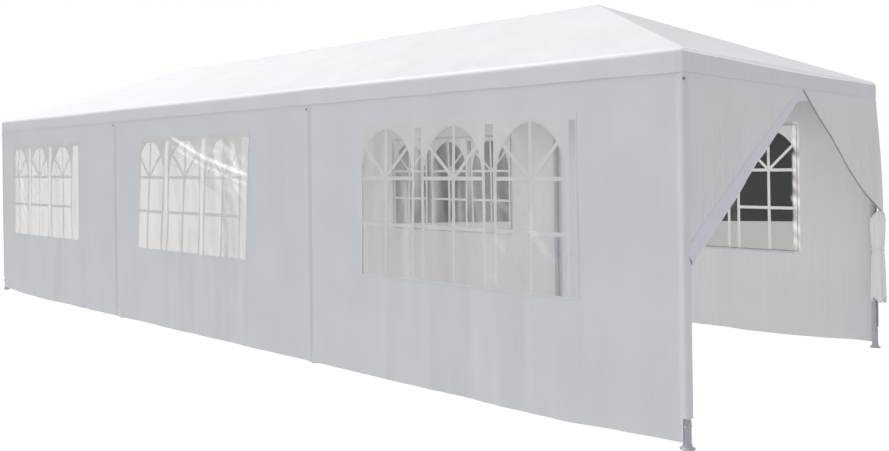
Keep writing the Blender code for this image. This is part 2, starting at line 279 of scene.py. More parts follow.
def between(value, breaks):
    """How far along its own stretch a value lies, from 0 at one break to 1 at the next."""
    breaks = np.asarray(breaks)
    place = np.clip(np.searchsorted(breaks, value) - 1, 0, len(breaks) - 2)
    return np.clip((value - breaks[place]) / (breaks[place + 1] - breaks[place]), 0.0, 1.0)


def full_turn(count):
    return np.linspace(0.0, 2 * math.pi, count, endpoint=False)


def stacked(*parts):
    """Arrays of x, y and z, or of the two places on flat cloth, as one array of points."""
    return np.stack(np.broadcast_arrays(*parts), axis=-1)


def stretches(ends, cell):
    """Grid lines through all the ends, about one cell apart between them, and each end's line number."""
    lines, numbers = [np.array([ends[0]])], [0]
    for start, end in zip(ends, ends[1:]):
        count = max(1, round((end - start) / cell))
        lines.append(np.linspace(start, end, count + 1)[1:])
        numbers.append(numbers[-1] + count)
    return np.concatenate(lines), numbers


def grid_faces(rows, columns, round_columns=False, flip=False):
    """Point numbers of the cells of a grid, whose last column also joins its first where it runs round."""
    start = np.arange(rows - 1)[:, None] * columns
    left = np.arange(columns if round_columns else columns - 1)[None, :]
    right = (left + 1) % columns
    faces = stacked(start + left, start + right, start + columns + right, start + columns + left)
    return faces[..., ::-1] if flip else faces


def add_surface(name, points, faces, material, flat=None, merge=0.0):
    """One object from whole arrays of points and faces. flat is each point's place on the flat cloth in
    metres, kept as its UV map. Points closer than merge become one."""
    points = np.asarray(points).reshape(-1, 3)
    faces = np.asarray(faces).reshape(-1, 4)
    mesh = bpy.data.meshes.new(name)
    mesh.from_pydata(points.tolist(), [], faces.tolist())
    if flat is not None:
        layer = mesh.uv_layers.new(name="flat")
        layer.data.foreach_set("uv", np.asarray(flat).reshape(-1, 2)[faces].astype(np.float32).ravel())
    mesh.polygons.foreach_set("use_smooth", np.ones(len(mesh.polygons), bool))
    if merge:
        surface = bmesh.new()
        surface.from_mesh(mesh)
        bmesh.ops.remove_doubles(surface, verts=surface.verts, dist=merge)
        surface.to_mesh(mesh)
        surface.free()
    sharpen_free_edges(mesh)
    mesh.materials.append(material)
    obj = bpy.data.objects.new(name, mesh)
    bpy.context.scene.collection.objects.link(obj)
    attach(obj, "root")
    return obj


def sharpen_free_edges(mesh):
    """Marks the edges of only one face as sharp, so that a sheet's thin rim isn't shaded as a round one."""
    edge_of_corner = np.empty(len(mesh.loops), np.int32)
    mesh.loops.foreach_get("edge_index", edge_of_corner)
    free = np.bincount(edge_of_corner, minlength=len(mesh.edges)) == 1
    mesh.edges.foreach_set("use_edge_sharp", free)


def give_thickness(obj, thickness):
    solid = obj.modifiers.new("thickness", "SOLIDIFY")
    solid.thickness = thickness
    solid.offset = 0.0
    return obj


# Materials

def set_inputs(tree, node, inputs):
    """Each input of a node, by its name or number, takes a value, or is joined to another node's output."""
    for name, value in inputs.items():
        if isinstance(value, bpy.types.NodeSocket):
            tree.links.new(value, node.inputs[name])
        else:
            node.inputs[name].default_value = value


def add_node(tree, kind, inputs=None, output=0, **settings):
    """A new shader node with its settings and inputs. Hands back one of its outputs."""
    node = tree.nodes.new(f"ShaderNode{kind}")
    for name, value in settings.items():
        setattr(node, name, value)
    set_inputs(tree, node, inputs or {})
    return node.outputs[output]


def mix_colours(tree, share, first, second, blend_type="MIX"):
    """From the first colour to the second, by a share of 0 to 1. A colour is three levels, or an output."""
    ends = [end if isinstance(end, bpy.types.NodeSocket) else (*end, 1.0) for end in (first, second)]
    inputs = {"Factor": share, "A": ends[0], "B": ends[1]}
    return add_node(tree, "Mix", inputs, "Result", data_type="RGBA", blend_type=blend_type)


def mix_shaders(tree, share, first, second):
    return add_node(tree, "MixShader", {"Fac": share, 1: first, 2: second})


def ramp(tree, value, start, end, low=0.0, high=1.0):
    """Goes from low to high while a value goes from start to end, and stays there beyond them."""
    inputs = {"Value": value, "From Min": start, "From Max": end, "To Min": low, "To Max": high}
    return add_node(tree, "MapRange", inputs)


def calculate(tree, operation, *values, **settings):
    return add_node(tree, "Math", dict(enumerate(values)), operation=operation, **settings)


def bump(tree, height, strength, distance, under=None):
    """The normal of a relief, on top of another relief's if one lies under it."""
    inputs = {"Height": height, "Strength": strength, "Distance": distance}
    if under is not None:
        inputs["Normal"] = under
    return add_node(tree, "Bump", inputs)


def flat_place(tree):
    """Each point's place on the flat cloth, in metres."""
    return add_node(tree, "UVMap", uv_map="flat")


def grain(tree, place, scale, detail=2.0):
    return add_node(tree, "TexNoise", {"Vector": place, "Scale": scale, "Detail": detail})


def object_place(tree):
    return add_node(tree, "TexCoord", output="Object")


def crease_share(tree):
    """How white a point is with creases, as the mesh keeps it: partly the whitening of folded film and partly
    painted highlight.
    """
    return add_node(tree, "Attribute", output="Fac", attribute_name="crease")


def slant_share(tree):
    """From 0 for film that is seen straight on to 1 for film that is seen from the side."""
    facing = add_node(tree, "LayerWeight", {"Blend": 0.5}, "Facing")
    return ramp(tree, facing, *FILM_SLANT)


def new_material(name, roughness):
    material = bpy.data.materials.new(name)
    material.use_nodes = True
    tree = material.node_tree
    shader = tree.nodes["Principled BSDF"]
    set_inputs(tree, shader, {"Roughness": roughness})
    return material, tree, shader


def set_surface(tree, surface, output="Material Output"):
    set_inputs(tree, tree.nodes[output], {"Surface": surface})


def cloth_material(name, colour, streak_strength, streak_tint):
    """Woven plastic: a fine weave and long upright streaks as bump, and a colour that is a little uneven,
    with fine upright streaks that are darker by the share streak_tint."""
    material, tree, shader = new_material(name, 0.52)
    flat = flat_place(tree)

    def field(scale, detail, stretch=(1.0, 1.0, 1.0)):
        return grain(tree, add_node(tree, "Mapping", {"Vector": flat, "Scale": stretch}), scale, detail)

    uneven = mix_colours(tree, ramp(tree, field(2.3, 3.0), 0.3, 0.7), [0.955 * c for c in colour], colour)
    thin = ramp(tree, field(1.0, 3.0, (48.0, 1.1, 1.0)), 0.36, 0.64)
    darker = 1.0 - streak_tint
    streaks = bump(tree, field(9.0, 4.0, (2.2, 0.09, 1.0)), streak_strength, 0.004)
    threads = add_node(tree, "TexVoronoi", {"Vector": flat, "Scale": 330.0, "Randomness": 0.25})
    set_inputs(tree, shader, {
        "Base Color": mix_colours(tree, thin, uneven, (darker, darker, darker), "MULTIPLY"),
        "Normal": bump(tree, threads, 0.25, 0.0006, under=streaks),
        "Specular IOR Level": 0.4,
    })
    return material


def film_material():
    """Clear soft film: see-through with a slight haze from the front, and hazier when it is seen from the
    side, where a painted glow stands in for the daylight that it spreads. It is whitest in its creases,
    partly as folded film whitens and partly as a painted highlight that glows too."""
    material, tree, shader = new_material("window_film", 0.3)
    crease = crease_share(tree)
    steep = calculate(tree, "POWER", slant_share(tree), FILM_STEEPNESS)
    cover = calculate(tree, "MULTIPLY_ADD", steep, FILM_EDGE_COVER - FILM_HAZE, FILM_HAZE)
    thick = calculate(tree, "ADD", cover, crease, use_clamp=True)
    painted_glow = calculate(tree, "MULTIPLY", steep, FILM_PAINTED_GLOW)
    set_inputs(tree, shader, {
        "Base Color": mix_colours(tree, crease, FILM_COLOUR, CREASE_WHITE_AND_HIGHLIGHT),
        "Emission Color": (*PAINTED_GLOW_COLOUR, 1.0),
        "Emission Strength": calculate(tree, "MULTIPLY_ADD", crease, CREASE_PAINTED_HIGHLIGHT, painted_glow),
        "Normal": bump(tree, grain(tree, flat_place(tree), 14.0, 4.0), 0.35, 0.004),
    })
    clear = add_node(tree, "BsdfTransparent")
    set_surface(tree, mix_shaders(tree, thick, clear, shader.outputs["BSDF"]))
    return material


def print_material(name, white):
    """The print's matt white, as a copy darkened for painted shade or lightened for painted light, which
    turns grey as painted shade when it is seen from the side, and is white in its creases, partly as folded
    film whitens and partly as a painted highlight that glows.
    """
    material, tree, shader = new_material(name, 0.6)
    crease = crease_share(tree)
    tint = mix_colours(tree, slant_share(tree), (white, white, white), PRINT_PAINTED_SHADE_FROM_SIDE)
    set_inputs(tree, shader, {
        "Base Color": mix_colours(tree, crease, tint, CREASE_WHITE_AND_HIGHLIGHT),
        "Emission Color": (*PAINTED_GLOW_COLOUR, 1.0),
        "Emission Strength": calculate(tree, "MULTIPLY", crease, CREASE_PAINTED_HIGHLIGHT),
    })
    return material


def painted_steel():
    """Grey enamel on tube: slightly uneven in colour and gloss."""
    material, tree, shader = new_material("painted_steel", 0.4)
    uneven = grain(tree, object_place(tree), 24.0, 5.0)
    set_inputs(tree, shader, {
        "Base Color": mix_colours(tree, uneven, (0.38, 0.395, 0.43), (0.47, 0.485, 0.53)),
        "Roughness": ramp(tree, uneven, 0.0, 1.0, 0.3, 0.5),
        "Metallic": 0.05,
    })
    return material


def plain_material(name, colour, roughness, glow=0.0):
    """A plain plastic or tape finish with a fine grain, and a painted glow as if the day shone through it,
    where one is given.
    """
    material, tree, shader = new_material(name, roughness)
    uneven = grain(tree, object_place(tree), 60.0)
    set_inputs(tree, shader, {
        "Base Color": mix_colours(tree, uneven, [0.92 * c for c in colour], colour),
        "Emission Color": (*colour, 1.0),
        "Emission Strength": glow,
    })
    return material


# Cloth that hangs from the eaves

# Where the legs stand along each kind of side, and the seeds of the folds in the cloth that hangs there
LEG_LINE = {"long": (-LEG_X, -INNER_LEG_X, INNER_LEG_X, LEG_X), "end": (-LEG_Y, LEG_Y)}
HANG_SEEDS = {"front": 21, "back": 22, "end": 31}


def stand_out(kind, seed, along, height):
    """How far hanging cloth stands out from its flat plane: an arch between each two legs that grows from
    nothing at the eaves, with upright folds in it."""
    t = between(along, LEG_LINE[kind])
    arch = np.sin(math.pi * t)
    drop = smooth_step((EAVE_HEIGHT - 0.02 - height) / 0.5)
    upright = (-0.12, 0.12)
    folds = HANG_FOLD * waves(along, height, seed, (1.35, 0.83, 0.52), upright)
    folds = folds + HANG_FINE_FOLD * waves(along, height, seed + 9, (0.33, 0.21, 0.14), upright)
    return arch * drop * (HANG + folds)


# The roof cover

def roof_ring():
    """Once round the eaves, anticlockwise from the front left corner, as whole arrays: the place on an inner
    rectangle from -1 to 1 each way, the outward direction there, and which side of the roof it is."""
    across, outward, side_number = [], [], []
    corner_turns = np.linspace(0.0, math.pi / 2, 5)[1:-1]
    for number in range(4):
        cells = round(2 * (HALF_LENGTH if number % 2 == 0 else HALF_WIDTH) / ROOF_CELL)
        straight = np.linspace(-1.0, 1.0, cells + 1)
        place = np.concatenate([straight, np.ones(len(corner_turns))])
        base = (number - 1) * math.pi / 2
        turn = base + np.concatenate([np.zeros(cells + 1), corner_turns])
        normal = np.array([math.cos(base), math.sin(base)])
        tangent = np.array([-math.sin(base), math.cos(base)])
        across.append(np.round(normal[None, :] + place[:, None] * tangent[None, :], 9))
        outward.append(np.stack([np.cos(turn), np.sin(turn)], axis=1))
        side_number.append(np.full(len(turn), number))
    return np.concatenate(across), np.concatenate(outward), np.concatenate(side_number)


def roof_sag(x, y, inset, is_end):
    """How far the cloth hangs below the straight slope: nothing on the poles and rafters, most in the middle
    of each panel, as the product of one parabola across the panel and one up the slope."""
    up = inset / HALF_WIDTH
    hip = np.maximum(HALF_LENGTH - inset, INNER_LEG_X + 0.01)
    size = np.abs(x)
    middle_bay = (size + INNER_LEG_X) / (2 * INNER_LEG_X)
    outer_bay = (size - INNER_LEG_X) / (hip - INNER_LEG_X)
    side_share = np.clip(np.where(size < INNER_LEG_X, middle_bay, outer_bay), 0.0, 1.0)
    end_share = np.clip((y / np.maximum(HALF_WIDTH - inset, 0.01) + 1) / 2, 0.0, 1.0)
    share = np.where(is_end, end_share, side_share)
    depth = np.where(is_end, END_SAG, SIDE_SAG)
    return depth * 4 * share * (1 - share) * np.sin(math.pi * np.clip(up, 0.0, 1.0))


def eave_arc(span, is_end):
    """The radius of the cloth's arc over an eave pole, and the height of its centre, at each share of a span:
    tight over the legs, and slacker between them."""
    slack = np.where(is_end, EAVE_ROUND_AT_ENDS, EAVE_ROUND_BETWEEN) - EAVE_ROUND_AT_LEGS
    radius = EAVE_ROUND_AT_LEGS + slack * np.sin(math.pi * span) ** 0.6
    return radius, EAVE_HEIGHT + ROOF_SLOPE * radius - radius * math.hypot(1.0, ROOF_SLOPE)


def add_eave_welt(end, material):
    """The welt of the seam between slope and valance at an end: an oval cord with a flat cap at each corner
    leg. Between the legs it sags on the outside of the cloth, down the arc over the eave pole."""
    y = np.linspace(-HALF_WIDTH + 0.03, HALF_WIDTH - 0.03, 90)[:, None]
    span = between(y, LEG_LINE["end"])
    radius, centre_height = eave_arc(span, True)
    z = EAVE_HEIGHT - 0.003 - WELT_SAG * np.sin(math.pi * span) ** 0.8
    turn = np.arcsin(np.clip((z - centre_height) / radius, 0.0, 1.0))
    section = full_turn(12)[None, :]
    size = np.ones_like(y)
    size[[0, -1]] = 0.0
    out = WELT_DEPTH / 2 * np.cos(section) * size
    up = WELT_HEIGHT / 2 * np.sin(section) * size
    hang = stand_out("end", HANG_SEEDS["end"], y, z)
    x = HALF_LENGTH - radius * (1 - np.cos(turn)) + hang + 0.0008 + out * np.cos(turn) - up * np.sin(turn)
    points = stacked(ENDS[end] * x, y, z + up * np.cos(turn) + out * np.sin(turn))
    faces = grid_faces(len(y), 12, round_columns=True, flip=ENDS[end] > 0)
    obj = add_surface(f"eave_welt_{end}", points, faces, material, merge=0.0002)
    return obj


def add_roof_cover(*materials):
    """One sheet over the whole tent, as rings of points from the ridge down to the valance's hem. A ring is a
    rectangle with round corners, inset by its own distance from the eaves. Down a column the cloth follows
    the slope, then an arc over the eave pole, then the valance. The materials are those of the slopes, the
    long sides' valance, the ends' valance and the bright edge above that one. The two valances are darker,
    bluer copies of the slopes' cloth as painted shade, and the bright edge is the welt's finish, lighter and
    glowing, as a painted highlight."""
    across, outward, side = roof_ring()
    is_end = side % 2 == 1
    along = np.where(is_end, across[:, 1] * HALF_WIDTH, across[:, 0] * HALF_LENGTH)
    span = np.where(is_end, between(along, LEG_LINE["end"]), between(along, LEG_LINE["long"]))
    radius, centre_height = eave_arc(span, is_end)
    tangent_turn = math.atan2(1.0, ROOF_SLOPE)
    touch = radius * (1 - math.cos(tangent_turn))

    up = np.linspace(1.0, 0.0, 34)[:, None] ** 1.15
    slope_inset = touch + (HALF_WIDTH - CLOTH / 2 - touch) * up
    slope_height = EAVE_HEIGHT + ROOF_SLOPE * slope_inset
    turn = np.linspace(tangent_turn, 0.0, 9)[1:, None]
    arc_inset = radius * (1 - np.cos(turn))
    arc_height = centre_height + radius * np.sin(turn)
    hem = VALANCE_HEM + 0.002 * waves(along, side * 1.7, 5, (0.9, 0.41, 0.27), (0.0, 0.0))
    down = np.linspace(0.0, 1.0, 7)[1:, None]
    valance_height = centre_height + (hem - centre_height) * down
    inset = np.concatenate([slope_inset, arc_inset, np.zeros_like(valance_height)])
    height = np.concatenate([slope_height, arc_height, valance_height])
    inset = inset + CLOTH / 2

    corner = np.minimum(CORNER_ROUND, np.maximum(HALF_WIDTH - inset, 0.0))
    x = across[:, 0] * (HALF_LENGTH - inset - corner) + corner * outward[:, 0]
    y = across[:, 1] * (HALF_WIDTH - inset - corner) + corner * outward[:, 1]

    near_eave = np.exp(-inset / 0.22) * np.sin(math.pi * span) * np.where(is_end, 1.5, 1.0)
    pull = waves(along, inset, 11, (0.13, 0.19, 0.085, 0.3), (-0.25, 0.25))
    loose = waves(x, y, 12, (1.6, 0.9, 0.6, 0.37))
    sag = roof_sag(x, y, inset, is_end)
    on_slope = smooth_step(inset / 0.05)
    fade = np.clip(sag / SIDE_SAG * 3, 0.0, 1.0)
    height = height - sag + on_slope * (EAVE_WRINKLE * near_eave * pull + ROOF_WRINKLE * fade * loose)

    out_long = stand_out("long", HANG_SEEDS["front"], along, height)
    out_end = stand_out("end", HANG_SEEDS["end"], along, height)
    out = np.where(is_end, out_end, out_long) * (np.arange(len(inset))[:, None] >= len(inset) - len(down))
    out = np.maximum(out, -0.0008)
    x = x + out * outward[:, 0]
    y = y + out * outward[:, 1]

    rows, columns = x.shape
    steps = np.hypot(np.gradient(inset, axis=0), np.gradient(height, axis=0))
    flat = stacked(along + side * 0.3, np.cumsum(steps, axis=0))
    faces = grid_faces(rows, columns, round_columns=True, flip=True)
    obj = add_surface("roof_cloth", stacked(x, y, height), faces, materials[0], flat, merge=0.0004)
    for other in materials[1:]:
        obj.data.materials.append(other)
    centres = np.empty(3 * len(obj.data.polygons))
    obj.data.polygons.foreach_get("center", centres)
    size_x, size_y, face_height = np.abs(centres.reshape(-1, 3)).T
    from_end, from_side = HALF_LENGTH - size_x, HALF_WIDTH - size_y
    # Valance faces take darker copies of the cloth as painted shade, and faces along the end eaves take the
    # welt's finish as a painted highlight.
    is_valance = face_height < VALANCE_TOP
    is_edge = (from_end < 0.02) & (from_end < from_side)
    number = np.select([is_valance & (from_end < 0.01), is_valance, is_edge], [2, 1, 3])
    obj.data.polygons.foreach_set("material_index", number.astype(np.int32))
    give_thickness(obj, CLOTH)
    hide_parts("roof_cover")
    return obj


# Side walls, with a window each

# How far each window's bottom left, top left, bottom right and top right corners are pulled along the wall
WINDOW_PULL = {
    ("front", "right"): (0.0, 0.03, 0.0, 0.0),
    ("front", "middle"): (-0.015, 0.09, -0.01, 0.06),
    ("front", "left"): (0.03, 0.06, -0.05, -0.04),
}
# How deep the soft folds of the two nearest films are
FOLD_SIZE = {("front", "right"): 0.0035, ("front", "middle"): 0.005}
# Which way the wrinkles of each front film run across, as a turn from along the wall
WRINKLE_TURN = {"right": 0.75, "middle": 1.2, "left": 0.4}
CRUMPLED_BORDER = 0.062
SEEDS = {(side, bay): 100 + 40 * i + 10 * j for i, side in enumerate(SIDES) for j, bay in enumerate(BAYS)}


def round_corner(x, y, height, side):
    """Takes what reaches past a corner round its leg: along an arc, and then on across the end of the tent.
    From the fold along the leg's near side on, the cloth ends above the leg's sleeve."""
    past = np.abs(x) - (WRAP_X - WRAP_ROUND)
    turn = np.clip(past / WRAP_ROUND, 0.0, math.pi / 2)
    beyond = np.maximum(past - WRAP_ROUND * math.pi / 2, 0.0)
    depth = WRAP_ROUND * (1 - np.cos(turn)) + beyond
    loose = 1.5 * smooth_step((EAVE_HEIGHT - 0.2 - height) / 0.4)
    corner_x = np.sign(x) * (WRAP_X - WRAP_ROUND + WRAP_ROUND * np.sin(turn) + loose * beyond ** 2)
    at_leg = smooth_step((np.abs(x) - LEG_FOLD_X) / LEG_FOLD)
    raised = WRAP_FOOT * at_leg * smooth_step((0.5 - height) / 0.46)
    return np.where(past > 0, corner_x, x), np.where(past > 0, y - SIDES[side] * depth, y), height + raised


def foot_cover(x, height):
    """How far a wall's hem stands out to lie over the foot plates of the two inner legs."""
    past = np.abs(np.abs(x) - INNER_LEG_X) / 0.055
    return FOOT_COVER * np.exp(-past ** 2) * smooth_step((0.16 - height) / 0.14)


def wall_placer(side, bay):
    """A function that puts points (u along the wall, v up it, and how far out of it) into the tent. The
    points round the window are pulled along with its corners, the less the further they are from it."""
    low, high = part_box(f"side_wall_{side}_{bay}")
    film_low, film_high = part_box(f"window_film_{side}_{bay}")
    pulls = WINDOW_PULL.get((side, bay), (0.0, 0.0, 0.0, 0.0))
    lines_u = (low.x, film_low.x, film_high.x, high.x)
    lines_v = (low.z, film_low.z, film_high.z, high.z)

    def place(u, v, out):
        left = np.interp(u, lines_u, (0.0, 1.0, 0.0, 0.0))
        right = np.interp(u, lines_u, (0.0, 0.0, 1.0, 0.0))
        bottom = np.interp(v, lines_v, (0.0, 1.0, 0.0, 0.0))
        top = np.interp(v, lines_v, (0.0, 0.0, 1.0, 0.0))
        x = u + left * (pulls[0] * bottom + pulls[1] * top) + right * (pulls[2] * bottom + pulls[3] * top)
        hang = stand_out("long", HANG_SEEDS[side], x, v)
        y = SIDES[side] * (WALL_Y + hang + foot_cover(x, v) + out)
        return stacked(*round_corner(x, y, v, side))

    return place, low, high, film_low, film_high


def film_fade(u, v, low, high):
    """Nothing at the film's seam, and one from a little way inside it."""
    edge = np.minimum(np.minimum(u - low.x, high.x - u), np.minimum(v - low.z, high.z - v))
    return smooth_step((edge - WINDOW_SEAM * 0.5) / 0.16)


def main_fold(u, v, low):
    """The sharp fold of the crumpled window: each point's height over its line, which falls from the window's
    top towards its far side, and how far along it the cloth is folded."""
    along = (u - low.x - 0.65) / 1.12
    over = v - low.z - (1.009 - 0.40 * along + 0.097 * along ** 2)
    return over, smooth_step((along + 0.1) / 0.12) * smooth_step((1.1 - along) / 0.15)


def film_relief(side, bay, u, v, low, high):
    """How far the film stands out of its frame: soft upright folds and fine creases, and a sharp fold in the
    window that is crumpled."""
    seed = SEEDS[side, bay]
    size = FOLD_SIZE.get((side, bay), 0.0065)
    relief = size * waves(u, v, seed, (0.42, 0.27, 0.6), (-0.35, 0.35))
    relief = relief + 0.0018 * creases(u, v, seed + 3, (0.21, 0.33))
    if (side, bay) == ("front", "middle"):
        over, share = main_fold(u, v, low)
        relief = relief + 0.010 * share * np.exp(-np.abs(over) / 0.03)
    if (side, bay) == ("back", "right"):
        corner = smooth_step((u - high.x + 0.4) / 0.2) * smooth_step((v - UPPER_BAR_HEIGHT) / 0.15)
        relief = relief + 0.005 * corner * creases(u, v, seed + 8, (0.09, 0.14))
    return film_fade(u, v, low, high) * relief


def film_creases(side, bay, u, v, low, high):
    """How white the film is with creases, from 0 to 1: the sharp fold of the crumpled window with a smaller
    one beside it, soft slanting wrinkles in the parts of the front windows that aren't pulled tight, and a
    crumpled border in the back window next to the right doorway. This white is partly the whitening of folded
    film and partly painted highlight."""
    seed = SEEDS[side, bay]
    if (side, bay) == ("back", "right"):
        crumpled = waves(u, v, seed + 5, (0.09, 0.15, 0.24), (0.6, 1.3))
        over_edge = u - high.x + CRUMPLED_BORDER + 0.006 * crumpled
        return smooth_step(over_edge / 0.015) * (0.55 + 0.15 * crumpled)
    if side == "back":
        return np.zeros(np.broadcast(u, v).shape)
    turn = WRINKLE_TURN[bay]
    bent = v + 0.03 * waves(u, v, seed + 6, (0.5, 0.8))
    lines = waves(u, bent, seed + 5, (0.34, 0.21, 0.13, 0.09), (turn - 0.25, turn + 0.25))
    lines = smooth_step((lines - 0.25) / 1.2)
    fade = film_fade(u, v, low, high)
    if bay == "middle":
        over, share = main_fold(u, v, low)
        white = share * (np.exp(-(over / 0.011) ** 2) + 0.45 * np.exp(-((over + 0.075) / 0.010) ** 2))
        loose = smooth_step((u - low.x - 0.95) / 0.3) * smooth_step((over + 0.25) / 0.12)
        white = white + fade * loose * (0.08 + 0.25 * lines)
    if bay == "right":
        below = smooth_step((u - low.x - 1.0) / 0.3) * smooth_step((low.z + 0.75 - v) / 0.3)
        above = smooth_step((u - low.x - 1.15) / 0.25) * smooth_step((v - low.z - 0.72) / 0.2)
        white = fade * (below + 0.7 * above) * 0.2 * lines
    if bay == "left":
        white = fade * smooth_step((low.x + 0.9 - u) / 0.5) * 0.25 * lines
    return np.clip(white, 0.0, 1.0)


def add_side_wall(side, bay, material):
    """A wall on a grid whose lines run along the window's edges, less the window's cells. The hems and the
    window's border are a second layer of cloth, so they stand a little proud. An outer wall goes on past its
    corner, round the leg."""
    place, low, high, film_low, film_high = wall_placer(side, bay)
    hole_low = (film_low.x + WINDOW_SEAM, film_low.z + WINDOW_SEAM)
    hole_high = (film_high.x - WINDOW_SEAM, film_high.z - WINDOW_SEAM)
    wrap = WRAP_ROUND * (math.pi / 2 - 1) + WALL_Y - WRAP_EDGE_Y - WRAP_ROUND + WRAP_X
    ends_u = [low.x, low.x + HEM, low.x + HEM + LAP, hole_low[0] - WINDOW_BORDER, hole_low[0],
              hole_high[0], hole_high[0] + WINDOW_BORDER, high.x - HEM, high.x]
    round_start, round_end = WRAP_X - WRAP_ROUND, WRAP_X - WRAP_ROUND * (1 - math.pi / 2)
    corner_u = [LEG_FOLD_X, LEG_FOLD_X + LEG_FOLD, round_start, round_end, wrap]
    if bay == "right":
        ends_u[-2:] = corner_u
    if bay == "left":
        ends_u[:3] = [-u for u in reversed(corner_u)]
    ends_v = [low.z, low.z + HEM, hole_low[1] - WINDOW_BORDER, hole_low[1], hole_high[1],
              hole_high[1] + WINDOW_BORDER, high.z]
    u, _ = stretches(ends_u, WALL_CELL)
    v, v_numbers = stretches(ends_v, WALL_CELL)
    if bay != "middle":
        extra = np.linspace(0.0, WRAP_ROUND * math.pi / 2, 7)[1:-1] + WRAP_X - WRAP_ROUND
        u = np.sort(np.concatenate([u, extra if bay == "right" else -extra]))
    hole_u = np.searchsorted(u, [hole_low[0] - 1e-6, hole_high[0] - 1e-6])
    hole_v = v_numbers[3:5]
    seed = SEEDS[side, bay]
    grid_u, grid_v = np.meshgrid(u, v)
    wavy_hem = 0.0014 * waves(grid_u, 0.0 * grid_u, seed + 4, (1.1, 0.62, 0.35), (0.0, 0.0))
    end_distance = np.minimum(grid_u - u[0], u[-1] - grid_u)
    from_hole_u = np.maximum(hole_low[0] - grid_u, grid_u - hole_high[0])
    from_hole_v = np.maximum(hole_low[1] - grid_v, grid_v - hole_high[1])
    at_window = np.maximum(from_hole_u, from_hole_v) < WINDOW_BORDER * 0.99
    proud = HEM_PROUD * ((end_distance < HEM * 0.99) | (grid_v < low.z + HEM * 0.99) | at_window)
    if bay != "left":
        proud = np.where(grid_u < low.x + HEM + 0.2 * LAP, LAP, proud)
    proud = np.where(np.abs(grid_u) > LEG_FOLD_X + 0.5 * LEG_FOLD, LAP, proud)
    points = place(grid_u, grid_v, proud)
    down = smooth_step((low.z + 0.35 - grid_v) / 0.35)
    lowered = (low.z - HEM_HEIGHT) * smooth_step((LEG_X - np.abs(grid_u)) / HEM_CORNER_REACH)
    points[..., 2] += down * (smooth_step(end_distance / 0.2) * wavy_hem - lowered)
    faces = grid_faces(len(v), len(u), flip=SIDES[side] > 0)
    keep = np.ones(faces.shape[:2], bool)
    keep[hole_v[0]:hole_v[1], hole_u[0]:hole_u[1]] = False
    used, faces = np.unique(faces[keep], return_inverse=True)
    points, flat = points.reshape(-1, 3)[used], stacked(grid_u, grid_v).reshape(-1, 2)[used]
    obj = add_surface(f"wall_cloth_{side}_{bay}", points, faces, material, flat)
    give_thickness(obj, CLOTH)
    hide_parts(f"side_wall_{side}_{bay}")
    return obj


def film_out(side, bay, u, v, low, high):
    """The film lies behind the wall's cloth at its seam."""
    return film_relief(side, bay, u, v, low, high) - (CLOTH + FILM) / 2 - 0.0004


def keep_creases(obj, white):
    """How white each point is with creases, for the film's and the print's materials: partly the whitening of
    folded film and partly painted highlight.
    """
    crease = obj.data.attributes.new("crease", "FLOAT", "POINT")
    crease.data.foreach_set("value", white.astype(np.float32).ravel())


def add_window_film(side, bay, material):
    """A sheet of clear film, a little larger than the window, sewn in behind its border."""
    place, _, _, low, high = wall_placer(side, bay)
    u, _ = stretches((low.x, high.x), FILM_CELL)
    v, _ = stretches((low.z, high.z), FILM_CELL)
    grid_u, grid_v = np.meshgrid(u, v)
    points = place(grid_u, grid_v, film_out(side, bay, grid_u, grid_v, low, high))
    faces = grid_faces(len(v), len(u), flip=SIDES[side] > 0)
    obj = add_surface(f"film_{side}_{bay}", points, faces, material, stacked(grid_u, grid_v))
    keep_creases(obj, film_creases(side, bay, grid_u, grid_v, low, high))
    give_thickness(obj, FILM)
    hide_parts(f"window_film_{side}_{bay}")
    return obj


def fine_line(start, end):
    """Places from start to end, about one of the film's cells apart."""
    return np.linspace(start, end, max(3, int((end - start) / FILM_CELL) + 2))


def strip(path_u, path_v, width):
    """A flat strip along a path: its points moved half a width to each side, square to its direction."""
    du, dv = np.gradient(path_u), np.gradient(path_v)
    long = np.hypot(du, dv)
    offsets = np.linspace(-0.5, 0.5, 3)[:, None] * width
    return path_u - offsets * dv / long, path_v + offsets * du / long


def print_strips(low, high, centre):
    """Every bar of the printed lights as a strip on the flat film, with its layer: uprights, then cross bars,
    then arches and spokes. An arch is half an ellipse, and from the middle of its foot a spoke runs to each
    side of the middle upright."""
    bottom = low.z + FILM_MARGIN
    upper = UPPER_BAR_HEIGHT
    half = (LIGHT_WIDTH - BAR_WIDTH) / 2
    strips = []
    for number in range(LIGHTS):
        middle = centre + (number - (LIGHTS - 1) / 2) * LIGHT_PITCH
        for offset, top in ((-half, upper), (0.0, upper + ARCH_RISE), (half, upper)):
            v = fine_line(bottom, top)
            strips.append((0, *strip(np.full_like(v, middle + offset), v, BAR_WIDTH)))
        for height in (LOWER_BAR_HEIGHT, upper):
            u = fine_line(middle - half, middle + half)
            strips.append((1, *strip(u, np.full_like(u, height), BAR_WIDTH)))
        turn = np.linspace(0.0, math.pi, 56)
        strips.append((2, *strip(middle + half * np.cos(turn), upper + ARCH_RISE * np.sin(turn), BAR_WIDTH)))
        for turn in (math.pi / 4, 3 * math.pi / 4):
            reach = 1 / math.hypot(math.cos(turn) / half, math.sin(turn) / ARCH_RISE)
            far = fine_line(0.0, reach)
            spoke_u, spoke_v = middle + far * math.cos(turn), upper + far * math.sin(turn)
            strips.append((3, *strip(spoke_u, spoke_v, SPOKE_WIDTH)))
    left, right = low.x + FILM_MARGIN, high.x - FILM_MARGIN
    return [bar for bar in strips if bar[1].max() > left and bar[1].min() < right]


